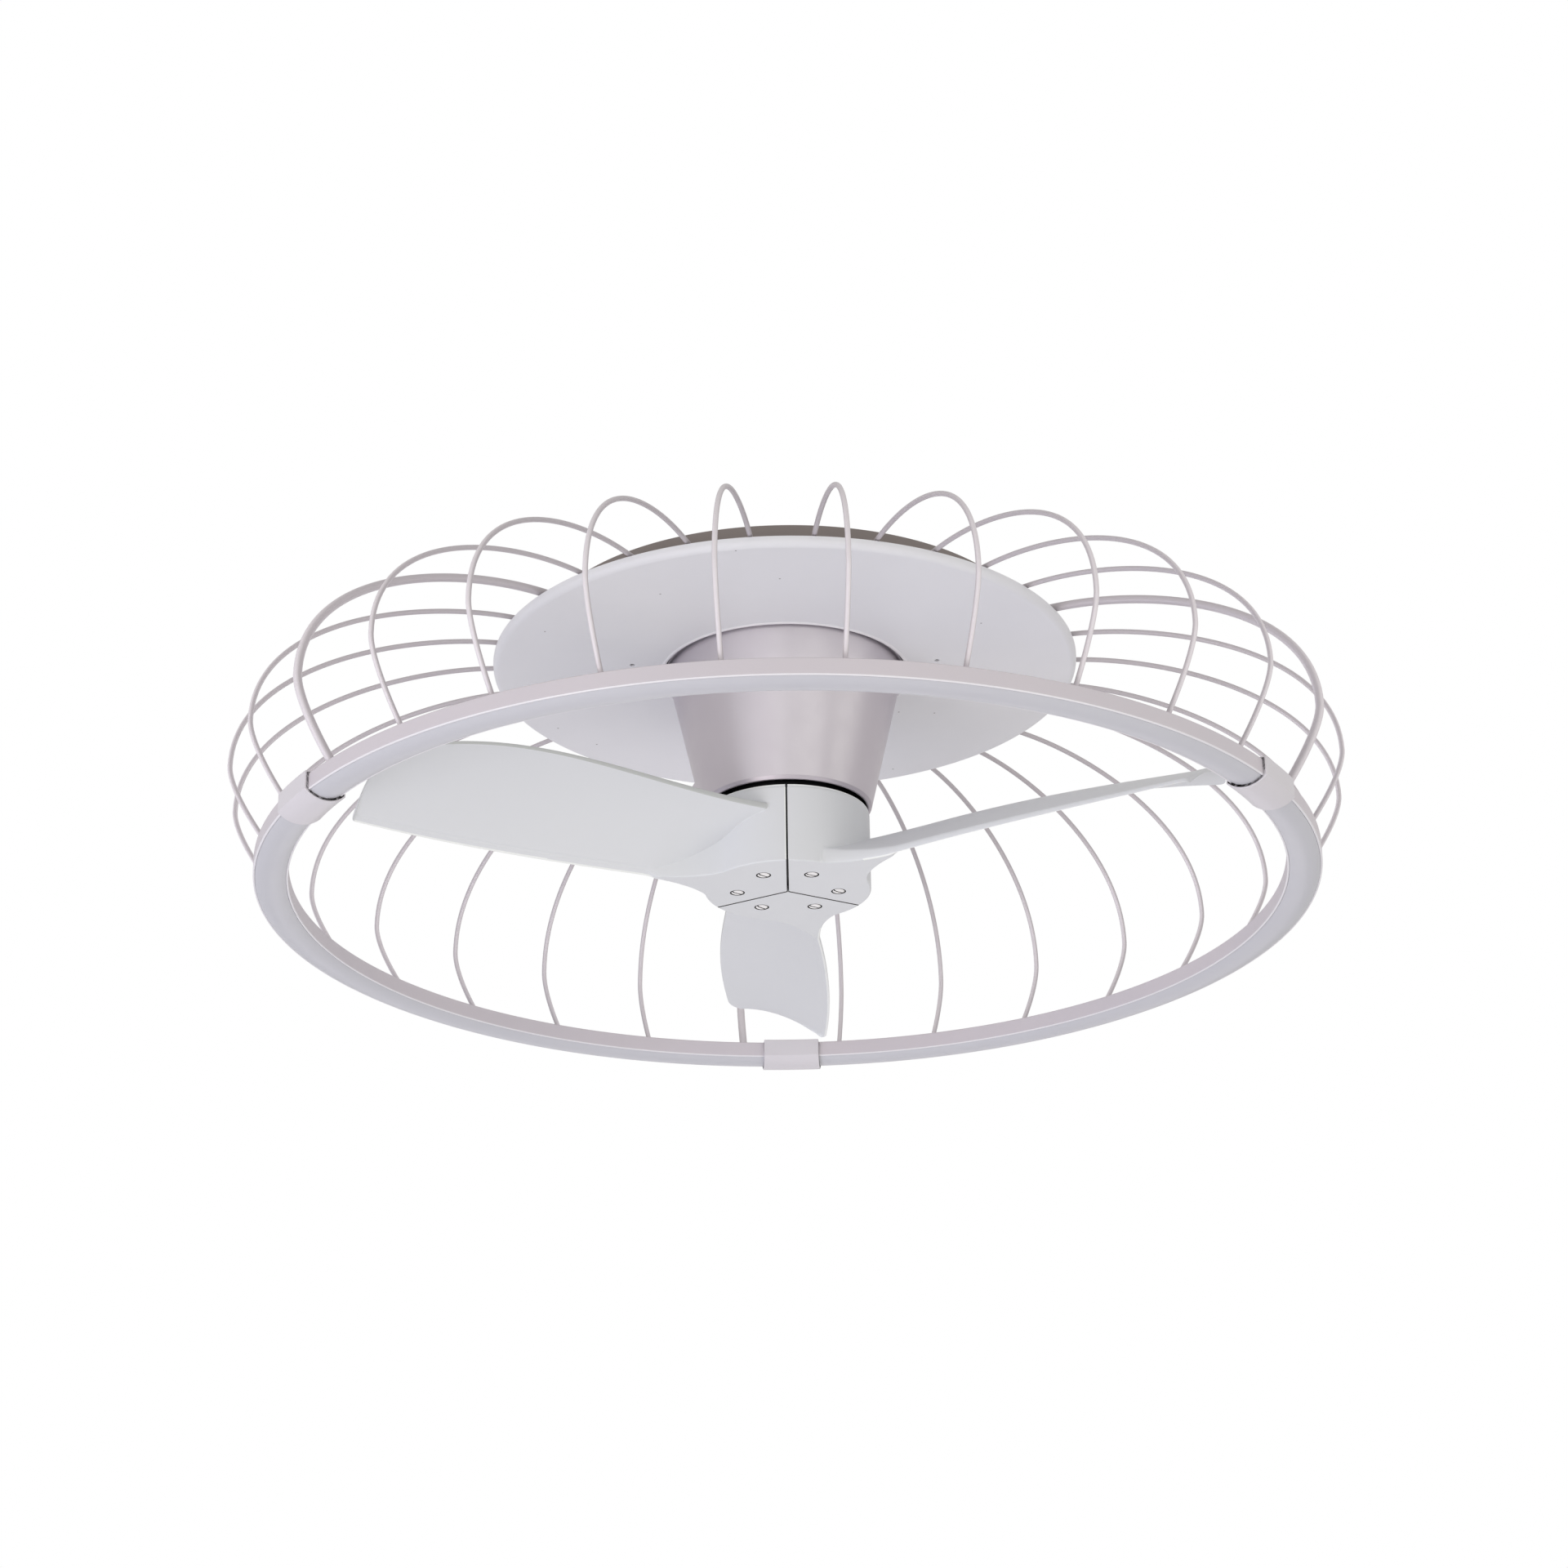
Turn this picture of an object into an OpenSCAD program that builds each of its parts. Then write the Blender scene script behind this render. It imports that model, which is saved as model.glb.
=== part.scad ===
// Enclosed ceiling fan with a ring light: three moulded blades turn inside a
// cage of bent wires that carries the ring.  Millimetres.  The origin is the
// centre of the ceiling face, +Z points up, and everything hangs below z = 0.
// Heights marked "level" are measured up from the lower edge of the ring.

/* [Light ring] */
// Outside radius of the ring
ring_r = 318; // [306:1:330]
// Width of the ring's channel
ring_w = 20.7; // [18:0.1:24]
// Height of the channel's walls
ring_h = 10; // [9:0.5:14]
// Drop from the ceiling to the lower edge of the channel's walls
ring_drop = 173; // [168:1:182]
// Wall thickness of the channel
ring_wall = 1.2; // [0.8:0.1:1.8]
// How far the diffuser bulges below the channel
diffuser_sag = 3; // [2:0.5:5]
// Wall thickness of the diffuser
diffuser_wall = 1.4; // [1:0.1:2]
// Height of the diffuser's side legs inside the channel
diffuser_leg = 4; // [3:0.5:5]
// Width of the light strip's board
strip_w = 10; // [6:0.5:12]
// Thickness of the light strip's board with its coating
strip_t = 1.6; // [1:0.1:2]
// Length of the sleeve over each joint of the ring
sleeve_len = 38; // [30:1:46]
// Gap between the ring and the sleeve
sleeve_gap = 1.1; // [0.6:0.1:1.6]
// Wall thickness of the sleeve
sleeve_wall = 1.2; // [0.8:0.1:1.8]
// Width of the sleeve's lips over the top of the ring
sleeve_lip = 4; // [2:0.5:6]

/* [Wire cage] */
// Number of ribs round the cage
rib_count = 30; // [18:12:30]
// Thickness of a wire rib
wire_d = 3; // [2.6:0.1:3.6]
// Outside thickness of the three tubes that carry the light's leads
lead_d = 5; // [4:0.2:6]
// How far the ribs belly out past the ring, to the middle of the wire
belly_out = 16.6; // [10:0.2:20]
// Level of the ribs' widest point
belly_level = 60.4; // [55:1:68]
// How far a rib runs out level from its foot, as a share of its whole reach
rib_run = 0.38; // [0.3:0.01:0.5]
// How square a rib's shoulder is, as a share of the height above the belly
rib_shoulder = 0.7; // [0.5:0.01:0.8]
// How far a rib drops upright below its belly, as a share of the drop
rib_drop = 0.32; // [0.25:0.01:0.45]
// Radius of the middle of the ribs' lower ends, inside the ring's outer edge
rib_end_inset = 9.4; // [8:0.2:12]
// Length of the straight foot of a rib on the hoop
foot_len = 8; // [6:0.5:12]
// How far the flat hoop under the ribs stands out past the chassis plate
hoop_lip = 3; // [1:0.5:5]
// Width of the hoop
hoop_w = 16; // [13:0.5:20]
// Thickness of the hoop
hoop_t = 1.2; // [1:0.1:2]

/* [Canopy and chassis] */
// Gap between the canopy and the hoop round it
canopy_gap = 11; // [6:1:16]
// Height of the canopy
canopy_h = 22; // [21:0.5:26]
// Sheet thickness of the canopy
canopy_t = 1.2; // [0.8:0.1:1.6]
// Width of the canopy's inward flange
canopy_flange = 36; // [30:1:40]
// Corner radius at the bottom of the canopy
canopy_corner = 3; // [2:0.5:5]
// Outside radius of the chassis plate, which the hoop, the disc and the canopy follow
plate_r = 174; // [168:1:180]
// Thickness of the chassis plate
plate_t = 1.5; // [1.2:0.1:2]
// Radius of the cable hole in the middle of the chassis plate
plate_hole_r = 6; // [5:0.5:7]

/* [Ceiling bracket] */
// Width of the bracket's straps
strap_w = 36; // [32:1:42]
// Thickness of the bracket's straps
strap_t = 2; // [1.5:0.1:2.5]
// Length of the short strap
short_strap_len = 150; // [146:2:180]
// Depth of the bracket's ears
ear_h = 14; // [13:0.5:16]
// Diameter of the circle of ceiling screw holes
ceiling_pcd = 120; // [116:2:124]
// Radius of a ceiling screw hole
ceiling_hole_r = 2.6; // [2.2:0.1:3]
// Distance of the cable grommet from the middle
grommet_x = 28; // [22:1:34]
// Bore radius of the cable grommet
grommet_bore_r = 4.5; // [3.5:0.1:5]
// Outside radius of the grommet's neck
grommet_neck_r = 7; // [6.5:0.1:8]
// Outside radius of the grommet's flange
grommet_flange_r = 10; // [9.5:0.5:12]
// Thickness of the grommet's flange
grommet_flange_t = 2; // [1.5:0.1:3]

/* [Disc cover] */
// How far the disc cover stands out past the chassis plate
disc_lip = 5; // [4.6:0.1:8]
// Distance from the chassis plate to the disc's visible face
disc_gap = 4.2; // [3.8:0.1:5]
// Wall thickness of the disc
disc_t = 1.2; // [1:0.1:1.4]
// Height of the disc's rim above its visible face
disc_rim_h = 6.1; // [5.5:0.1:7]
// Radius of the disc's rounded rim
disc_rim_r = 4; // [3:0.5:5]
// Radius of the hole round the motor cover
disc_hole_r = 75; // [74.6:0.1:76]
// Sideways distance of the disc's screws from the middle
disc_screw_x = 93; // [90:1:98]
// Front and back distance of the disc's screws from the middle
disc_screw_y = 20; // [16:1:24]
// Radius of the small dark screws that hold the disc
disc_screw_r = 1.5; // [1.3:0.05:1.7]
// How deep the small screws sit in the disc
disc_screw_sink = 1.6; // [1:0.1:2.4]
// Radius of the disc's bosses round the small screws
disc_boss_r = 5; // [4:0.5:6]

/* [Motor cover] */
// Outside radius of the cover's top end
cover_top_r = 72.5; // [70:0.1:73]
// Outside radius of the cover's mouth
cover_mouth_r = 51.3; // [50.5:0.1:53]
// Level of the cover's mouth
cover_mouth_level = 57.2; // [55:0.5:60]
// Wall thickness of the cover
cover_t = 1.5; // [1:0.1:2]
// Outside radius of the cover's hidden flange
cover_flange_r = 84; // [83.5:0.5:86]
// Thickness of the cover's hidden flange
cover_flange_t = 1.2; // [1:0.1:1.5]
// Radius of the cover's screw circle
cover_screw_r = 80; // [79.8:0.1:80.6]

/* [Blades] */
// Radius of the blade tips
blade_r = 274.5; // [255:0.5:284]
// Radius of the hub
hub_r = 50; // [49.5:0.1:50.3]
// Height of the hub
hub_h = 47.2; // [46:0.1:49]
// Level of the hub's flat underside
hub_level = 3.3; // [2:0.1:6]
// Thickness of the hub's wall
hub_wall = 3; // [2.4:0.1:3.6]
// Thickness of the hub's bottom
hub_floor = 4; // [3.4:0.1:4.4]
// Gap at the seams between the blades
seam = 0.3; // [0.2:0.05:0.6]
// Radius where a blade's root fairing ends
fairing_r = 86; // [82:1:95]
// How far the trailing edge flares at the hub
root_flare = 14; // [10:0.5:15]
// Thickness of a blade at its root
blade_root_t = 5.6; // [4.6:0.1:6.5]
// Thickness of a blade at its tip
blade_tip_t = 2.5; // [2:0.1:3]
// Corner radius at the leading corner of the tip
lead_corner = 8; // [6:0.5:12]
// Corner radius at the trailing corner of the tip
trail_corner = 1.5; // [0.5:0.5:5]
// Radius of the circle of blade screws
blade_screw_r = 30.4; // [29:0.2:32]
// Angle of a blade screw from its blade's middle
blade_screw_angle = 32; // [28:1:36]
// How far the heads of the blade screws stand out of the hub
blade_screw_proud = 0.4; // [0.1:0.1:0.8]

/* [Motor] */
// Outside radius of the rotor drum
drum_r = 45; // [44:0.1:46]
// Height of the rotor drum
drum_h = 56; // [54:0.5:60]
// Thickness of the drum's floor and of its cap
drum_floor = 4; // [3.6:0.1:4.4]
// Thickness of the drum's wall
drum_wall = 2.5; // [2:0.1:3]
// Radius of the fixed shaft
shaft_r = 8.5; // [8:0.1:9]
// Radius of the cable bore through the shaft
shaft_bore_r = 4.5; // [4:0.1:5]
// Radius of the shaft's top flange
shaft_flange_r = 27; // [26:0.5:30]
// Thickness of the shaft's top flange
shaft_flange_t = 2.4; // [2:0.1:2.5]
// Outside radius of a bearing
bearing_r = 20; // [19:0.1:20.5]
// Width of a bearing
bearing_w = 12; // [11:0.5:13]
// Height of the stator's steel core
core_h = 22; // [18:1:24]
// Number of stator teeth
tooth_count = 12; // [9:3:12]
// Number of rotor magnets
magnet_count = 14; // [10:2:16]
// Thickness of a rotor magnet
magnet_t = 2.8; // [2.4:0.1:3]
// Gap between the stator and the magnets
air_gap = 0.8; // [0.6:0.1:1.2]

/* [Fasteners] */
// Thread radius of the screws
screw_r = 2; // [1.6:0.1:2.2]
// Head radius of the screws
screw_head_r = 4; // [3.4:0.1:4.2]
// Head height of the screws
screw_head_h = 2.4; // [2:0.1:2.6]
// Length of a screw under its head
screw_len = 4; // [3.9:0.1:4.2]
// Length of a blade screw under its head
blade_screw_len = 5.6; // [5:0.1:5.9]

/* [Electrics] */
// Length of the light's driver
driver_len = 100; // [80:1:104]
// Width of the light's driver
driver_w = 30; // [24:1:32]
// Height of the light's driver
driver_h = 16; // [12:0.5:17]
// Length of the terminal block
terminal_len = 42; // [36:1:60]
// Width of the terminal block
terminal_w = 18; // [14:1:20]
// Height of the terminal block
terminal_h = 13; // [10:0.5:16]
// Outside radius of the motor's control board
board_r = 52; // [46:1:56]
// Distance from the chassis plate down to the control board
board_drop = 22; // [20:0.5:26]

/* [Hidden] */
$fn = 96;
FINE = 240;
EPS = 0.01;
// Clearance in the seats that slide together
slide_gap = 0.1;
// Running clearance of the bearings in the rotor
running_gap = 0.05;
// Clearance of a screw in a thread, and in a plain hole
thread_gap = 0.05;
hole_gap = 0.25;

function level(h) = h - ring_drop;
function lerp(a, b, t) = a + (b - a) * t;
function bezier(p, t) =
    p[0] * pow(1 - t, 3)
    + 3 * p[1] * t * pow(1 - t, 2)
    + 3 * p[2] * t * t * (1 - t)
    + p[3] * pow(t, 3);
function polar(r, angle) = [r * cos(angle), r * sin(angle)];

// The hoop, the disc and the canopy are all centred on the chassis plate's edge
hoop_r = plate_r + hoop_lip;
hoop_inner_r = hoop_r - hoop_w;
disc_r = plate_r + disc_lip;
canopy_r = hoop_inner_r - canopy_gap;

// Heights down the middle, from the ceiling
plate_top = -canopy_h;
plate_bottom = plate_top - plate_t;
disc_face = plate_bottom - disc_gap;
hoop_top = plate_top + hoop_t;
ring_top = level(ring_h);
hub_bottom = level(hub_level);
hub_top = hub_bottom + hub_h;
mouth_z = level(cover_mouth_level);
drum_bottom = hub_bottom + hub_floor;
drum_top = drum_bottom + drum_h;
shaft_top = plate_bottom - shaft_flange_t;
shaft_end = drum_bottom + drum_floor + 1.6;
lower_bearing_z = shaft_end + 2.4;
upper_bearing_z = drum_top - drum_floor + 3;
clip_t = 1.2;
blade_screw_seat = screw_head_h - blade_screw_proud;
core_z = lower_bearing_z + bearing_w + 5;
bearing_lip = 1.5;

// Radii inside the motor
drum_inner_r = drum_r - drum_wall;
magnet_inner_r = drum_inner_r - magnet_t;
core_r = magnet_inner_r - air_gap;
core_yoke_r = 20;
core_shoe_t = 3;
tooth_w = 5;
winding_over = 4;
bearing_race_t = 3;
seat_r = bearing_r + running_gap;
seat_wall = 3.5;
cap_lip_r = bearing_r - 2.5;
clip_r = shaft_r + 2.2;

// The joints of the ring stand over the blades at rest
joint_angles = [90, 210, 330];
blade_angles = [90, 210, 330];
ring_inner_r = ring_r - ring_w;
ring_mid_r = ring_r - ring_w / 2;
sleeve_angle = 2 * asin(sleeve_len / 2 / ring_mid_r);
joint_gap_angle = 2 * asin(0.4 / ring_mid_r);

// The profile of the diffuser is an arc between the channel's walls
diffuser_half = ring_w / 2 - ring_wall - slide_gap;
function arc_r(half, sag) = (half * half + sag * sag) / (2 * sag);
diffuser_arc_r = arc_r(diffuser_half, diffuser_sag);
sleeve_half = ring_w / 2 + sleeve_gap + sleeve_wall;

// Ribs stand at equal angles, and the first rib past each joint is a lead tube
rib_pitch = 360 / rib_count;
lead_indexes = [for (a = joint_angles) ceil(a / rib_pitch)];
function is_lead(i) = len(search(i, lead_indexes)) > 0;
wire_indexes = [for (i = [0 : rib_count - 1]) if (!is_lead(i)) i];
wire_names = [for (k = [0 : len(wire_indexes) - 1]) str("wire_rib_", k + 1)];
lead_names = ["lead_tube_a", "lead_tube_b", "lead_tube_c"];

// Holes and screws on the chassis plate
hoop_screw_r = hoop_r - hoop_w / 2 - 1;
hoop_screw_angles = [for (k = [0 : 5]) 60 * k + rib_pitch / 2 + 2];
canopy_screw_r = canopy_r - canopy_flange / 2;
canopy_screw_angles = [45, 135, 225, 315];
cover_screw_angles = joint_angles;
shaft_screw_r = (shaft_flange_r + shaft_r) / 2 + 1.5;
shaft_screw_angles = [0, 90, 180, 270];
ear_screw_z = -strap_t - (ear_h - strap_t) / 2;
disc_points = [for (x = [-1, 1]) for (y = [-1, 1]) [x * disc_screw_x, y * disc_screw_y]];
board_post_r = 45;
board_t = 1.6;

paint = [0.82, 0.80, 0.83];
moulding = [0.86, 0.87, 0.88];
taupe = [0.48, 0.45, 0.44];
steel = [0.70, 0.71, 0.73];
copper = [0.72, 0.43, 0.25];
black = [0.12, 0.12, 0.13];
opal = [0.84, 0.85, 0.89];

// ---------------------------------------------------------------- helpers

// A ring-shaped body with square edges
module tube(r_out, r_in, h, z = 0, facets = $fn) {
    translate([0, 0, z])
    difference() {
        cylinder(r = r_out, h = h, $fn = facets);
        translate([0, 0, -1]) cylinder(r = r_in, h = h + 2, $fn = facets);
    }
}

// A pan-head screw pointing up, its head below z = 0, with a slot in the head
module screw(length = screw_len) {
    difference() {
        union() {
            cylinder(r = screw_r - thread_gap, h = length, $fn = 32);
            translate([0, 0, -screw_head_h]) cylinder(r = screw_head_r, h = screw_head_h, $fn = 48);
        }
        translate([-screw_head_r, -0.5, -screw_head_h - 1])
            cube([2 * screw_head_r, 1, 1.9]);
    }
}

// The same screw pointing down from z
module screw_down(z) {
    translate([0, 0, z]) mirror([0, 0, 1]) screw();
}

// ------------------------------------------------------- ceiling and chassis

// Two crossed straps against the ceiling, with ears that hold the canopy
module ceiling_bracket() {
    inside_r = canopy_r - canopy_t - slide_gap;
    color(steel)
    difference() {
        union() {
            intersection() {
                translate([-inside_r, -strap_w / 2, -strap_t]) cube([2 * inside_r, strap_w, strap_t]);
                translate([0, 0, -strap_t]) cylinder(r = inside_r - strap_t / 2, h = strap_t, $fn = FINE);
            }
            translate([-strap_w / 2, -short_strap_len / 2, -strap_t])
                cube([strap_w, short_strap_len, strap_t]);
            for (turn = [0, 180]) rotate(turn) bracket_ear(inside_r);
        }
        for (a = [0, 90, 180, 270])
            translate(polar(ceiling_pcd / 2, a)) translate([0, 0, -strap_t - 1])
                cylinder(r = ceiling_hole_r, h = strap_t + 2, $fn = 32);
        translate([grommet_x, 0, -strap_t - 1]) cylinder(r = grommet_neck_r, h = strap_t + 2);
        for (turn = [0, 180]) rotate(turn) translate([inside_r - 4, 0, ear_screw_z])
            rotate([0, 90, 0]) cylinder(r = screw_r, h = 8, $fn = 32);
    }
}

// An ear that follows the inside of the canopy's wall, a little narrower than the strap
module bracket_ear(r) {
    half = asin((strap_w / 2 - 1.5) / r);
    rotate(-half)
    rotate_extrude(angle = 2 * half, $fn = FINE)
        translate([r - strap_t, -ear_h]) square([strap_t, ear_h]);
}

// A rubber bush pushed up into the strap, its flange below
module cable_grommet() {
    color(black)
    translate([grommet_x, 0, 0])
    difference() {
        union() {
            translate([0, 0, -strap_t]) cylinder(r = grommet_neck_r, h = strap_t);
            translate([0, 0, -strap_t - grommet_flange_t])
                cylinder(r = grommet_flange_r, h = grommet_flange_t);
        }
        translate([0, 0, -strap_t - grommet_flange_t - 1])
            cylinder(r = grommet_bore_r, h = strap_t + grommet_flange_t + 2);
    }
}

// A pressed sheet collar: a wall up to the ceiling and a flange on the plate
module ceiling_canopy() {
    color(taupe)
    difference() {
        rotate_extrude($fn = FINE)
        difference() {
            canopy_outline(0);
            canopy_outline(canopy_t);
            translate([0, -canopy_h - 1]) square([canopy_r - canopy_flange, canopy_h + 2]);
        }
        for (a = canopy_screw_angles)
            translate(polar(canopy_screw_r, a)) translate([0, 0, plate_top - 1])
                cylinder(r = screw_r + hole_gap, h = canopy_t + 2, $fn = 32);
        for (turn = [0, 180]) rotate(turn) translate([canopy_r - 4, 0, ear_screw_z])
            rotate([0, 90, 0]) cylinder(r = screw_r + hole_gap, h = 8, $fn = 32);
    }
}

// Half of the canopy's section, drawn in by the sheet thickness
module canopy_outline(inset) {
    corner = canopy_corner - inset;
    right = canopy_r - inset;
    low = -canopy_h + inset;
    high = inset > 0 ? 1 : 0;
    translate([0, low + corner]) square([right, high - low - corner]);
    translate([0, low]) square([right - corner, corner + EPS]);
    translate([right - corner, low + corner]) circle(r = corner, $fn = 48);
}

// The round steel plate that carries the cage, the cover, the disc and the motor
module chassis_plate() {
    color(taupe)
    translate([0, 0, plate_bottom])
    difference() {
        cylinder(r = plate_r, h = plate_t, $fn = FINE);
        plate_hole([0, 0], plate_hole_r);
        for (a = hoop_screw_angles) plate_hole(polar(hoop_screw_r, a), screw_r);
        for (a = canopy_screw_angles) plate_hole(polar(canopy_screw_r, a), screw_r);
        for (a = cover_screw_angles) plate_hole(polar(cover_screw_r, a), screw_r + hole_gap);
        for (a = shaft_screw_angles) plate_hole(polar(shaft_screw_r, a), screw_r);
        for (p = disc_points) plate_hole(p, disc_screw_r);
    }
}

module plate_hole(p, r) {
    translate([p[0], p[1], -1]) cylinder(r = r, h = plate_t + 2, $fn = 32);
}

// All the identical screws of the fixed frame
module frame_screws() {
    color(steel) {
        for (a = hoop_screw_angles)
            translate(polar(hoop_screw_r, a)) screw_down(hoop_top);
        for (a = canopy_screw_angles)
            translate(polar(canopy_screw_r, a)) screw_down(plate_top + canopy_t);
        for (a = cover_screw_angles)
            translate(polar(cover_screw_r, a)) screw_down(plate_top);
        for (a = shaft_screw_angles)
            translate(polar(shaft_screw_r, a)) translate([0, 0, shaft_top]) screw();
        for (turn = [0, 180]) rotate(turn)
            translate([canopy_r, 0, ear_screw_z]) rotate([0, -90, 0]) screw();
    }
}

// ------------------------------------------------------------- electrics

// How far out the middle of a box can stand inside the canopy's flange
function seat_inside_flange(long, wide) =
    sqrt(pow(canopy_r - canopy_flange, 2) - long * long / 4) - wide / 2 - 1;

// A moulded connector strip with a raised bar and wire entries
module terminal_block() {
    ways = 3;
    pitch = terminal_len / (ways + 1);
    y0 = seat_inside_flange(terminal_len, terminal_w);
    color("ivory")
    translate([-terminal_len / 2, y0 - terminal_w / 2, plate_top])
    difference() {
        union() {
            cube([terminal_len, terminal_w, terminal_h * 0.6]);
            translate([2, terminal_w * 0.25, 0]) cube([terminal_len - 4, terminal_w * 0.5, terminal_h]);
        }
        for (k = [1 : ways]) {
            translate([k * pitch, -1, terminal_h * 0.35]) rotate([-90, 0, 0])
                cylinder(r = 1.8, h = terminal_w * 0.2 + 1, $fn = 24);
            translate([k * pitch, terminal_w / 2, terminal_h * 0.6])
                cylinder(r = 2.2, h = terminal_h, $fn = 24);
        }
    }
}

// The light's driver: a sealed box with screw feet
module led_driver() {
    foot = 6;
    y0 = -seat_inside_flange(driver_len, driver_w);
    body_len = driver_len - 2 * foot;
    color("whitesmoke")
    translate([0, y0, plate_top])
    difference() {
        union() {
            translate([-body_len / 2, -driver_w / 2, 0]) cube([body_len, driver_w, driver_h]);
            translate([-driver_len / 2, -driver_w / 4, 0]) cube([driver_len, driver_w / 2, 2]);
        }
        for (side = [-1, 1]) {
            translate([side * (driver_len / 2 - foot / 2), 0, -1]) cylinder(r = 1.6, h = 4, $fn = 24);
            translate([side * body_len / 2, 0, driver_h / 2]) rotate([0, 90, 0])
                cylinder(r = 3, h = 4, center = true, $fn = 24);
        }
    }
}

// The motor's control board, round the shaft inside the cover, on three posts
module motor_controller() {
    board_z = plate_bottom - board_drop;
    color("seagreen")
    union() {
        tube(board_r, shaft_r + 3.5, board_t, board_z);
        for (a = [60, 180, 300])
            translate(polar(board_post_r, a)) translate([0, 0, board_z])
                cylinder(r = 3, h = board_drop, $fn = 32);
        for (a = [0, 30, 90])
            translate(polar(board_r * 0.66, a)) translate([0, 0, board_z - 12])
                cylinder(r = 5, h = 12 + EPS, $fn = 32);
        rotate(210) translate([20, -12, board_z - 8]) cube([14, 24, 8 + EPS]);
        rotate(265) translate([22, -9, board_z - 6]) cube([18, 18, 6 + EPS]);
    }
}

// ------------------------------------------------------- disc and motor cover

// A shallow spun dish with a rounded rim, a beaded hole and four bosses
module disc_cover() {
    color(paint)
    difference() {
        union() {
            rotate_extrude($fn = FINE) disc_profile();
            for (p = disc_points)
                translate([p[0], p[1], disc_face + disc_t / 2])
                    cylinder(r = disc_boss_r, h = disc_gap - disc_t / 2, $fn = 48);
        }
        for (p = disc_points)
            translate([p[0], p[1], disc_face - 1]) cylinder(r = disc_screw_r + slide_gap, h = 10, $fn = 32);
    }
}

// Headless screws with a slot, up through the bosses into the plate
module disc_screws() {
    low = disc_face + disc_screw_sink;
    color(black)
    for (p = disc_points)
        translate([p[0], p[1], low])
        difference() {
            cylinder(r = disc_screw_r - thread_gap, h = plate_top - low, $fn = 32);
            translate([-disc_screw_r, -0.3, -1]) cube([2 * disc_screw_r, 0.6, 1.8]);
        }
}

module disc_profile() {
    bead_r = disc_t;
    difference() {
        disc_outline(0);
        disc_outline(disc_t);
    }
    translate([disc_hole_r + bead_r, disc_face + bead_r]) circle(r = bead_r, $fn = 32);
}

// Half of the dish's section, drawn in by its wall
module disc_outline(inset) {
    corner = disc_rim_r - inset;
    right = disc_r - inset;
    low = disc_face + inset;
    high = disc_face + disc_rim_h + (inset > 0 ? 1 : 0);
    left = disc_hole_r + disc_t - (inset > 0 ? 2 : 0);
    translate([left, low + corner]) square([right - left, high - low - corner]);
    translate([left, low]) square([right - corner - left, corner + EPS]);
    translate([right - corner, low + corner])
        intersection() {
            circle(r = corner, $fn = 64);
            translate([-1, -corner]) square([corner + 1, corner + EPS]);
        }
}

// A tapered sleeve over the motor with a rolled mouth and a hidden flange
module motor_cover() {
    wide_z = plate_bottom - cover_flange_t;
    slope_h = wide_z - mouth_z;
    roll = cover_t * 0.75;
    color(paint)
    difference() {
        rotate_extrude($fn = 180) {
            polygon([
                [cover_mouth_r - cover_t, mouth_z + roll],
                [cover_mouth_r, mouth_z + roll],
                [cover_top_r, mouth_z + slope_h],
                [cover_flange_r, wide_z],
                [cover_flange_r, plate_bottom],
                [cover_top_r - cover_t - 1, plate_bottom],
                [cover_top_r - cover_t, wide_z]
            ]);
            translate([cover_mouth_r - roll, mouth_z + roll]) circle(r = roll, $fn = 32);
        }
        for (a = cover_screw_angles)
            translate(polar(cover_screw_r, a)) translate([0, 0, wide_z - 1])
                cylinder(r = screw_r, h = cover_flange_t + 2, $fn = 32);
    }
}

// ------------------------------------------------------------------ motor

// The fixed hollow shaft, hung from the plate by its flange
module motor_shaft() {
    color(steel)
    difference() {
        union() {
            translate([0, 0, shaft_end]) cylinder(r = shaft_r, h = shaft_top - shaft_end + EPS);
            translate([0, 0, shaft_top]) cylinder(r = shaft_flange_r, h = shaft_flange_t);
        }
        translate([0, 0, shaft_end - 1])
            cylinder(r = shaft_bore_r, h = plate_bottom - shaft_end + 2);
        for (a = shaft_screw_angles)
            translate(polar(shaft_screw_r, a)) translate([0, 0, shaft_top - 1])
                cylinder(r = screw_r + hole_gap, h = shaft_flange_t + 2, $fn = 32);
        for (z = clip_heights) tube(shaft_r + 1, shaft_r - 0.8, clip_t + 2 * thread_gap, z - thread_gap);
    }
}

// The two clips sit under the bearings, in grooves of the shaft
clip_heights = [lower_bearing_z - clip_t - thread_gap, upper_bearing_z - clip_t - thread_gap];

module retaining_rings() {
    color(black)
    for (z = clip_heights)
        difference() {
            tube(clip_r, shaft_r - 0.7, clip_t, z);
            translate([0, -1.5, z - 1]) cube([clip_r + 1, 3, clip_t + 2]);
        }
}

module motor_bearings() {
    bearing(lower_bearing_z);
    bearing(upper_bearing_z);
}

// A ball bearing: two races and their balls
module bearing(z) {
    ball_r = (bearing_r - shaft_r) / 2 - bearing_race_t + 0.9;
    track_r = (bearing_r + shaft_r) / 2;
    color(steel)
    translate([0, 0, z]) {
        difference() {
            union() {
                tube(bearing_r, bearing_r - bearing_race_t, bearing_w);
                tube(shaft_r + bearing_race_t, shaft_r, bearing_w);
            }
            rotate_extrude() translate([track_r, bearing_w / 2]) circle(r = ball_r + 0.02, $fn = 48);
        }
        for (k = [0 : 7])
            rotate(45 * k) translate([track_r, 0, bearing_w / 2]) sphere(r = ball_r, $fn = 48);
    }
}

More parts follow.
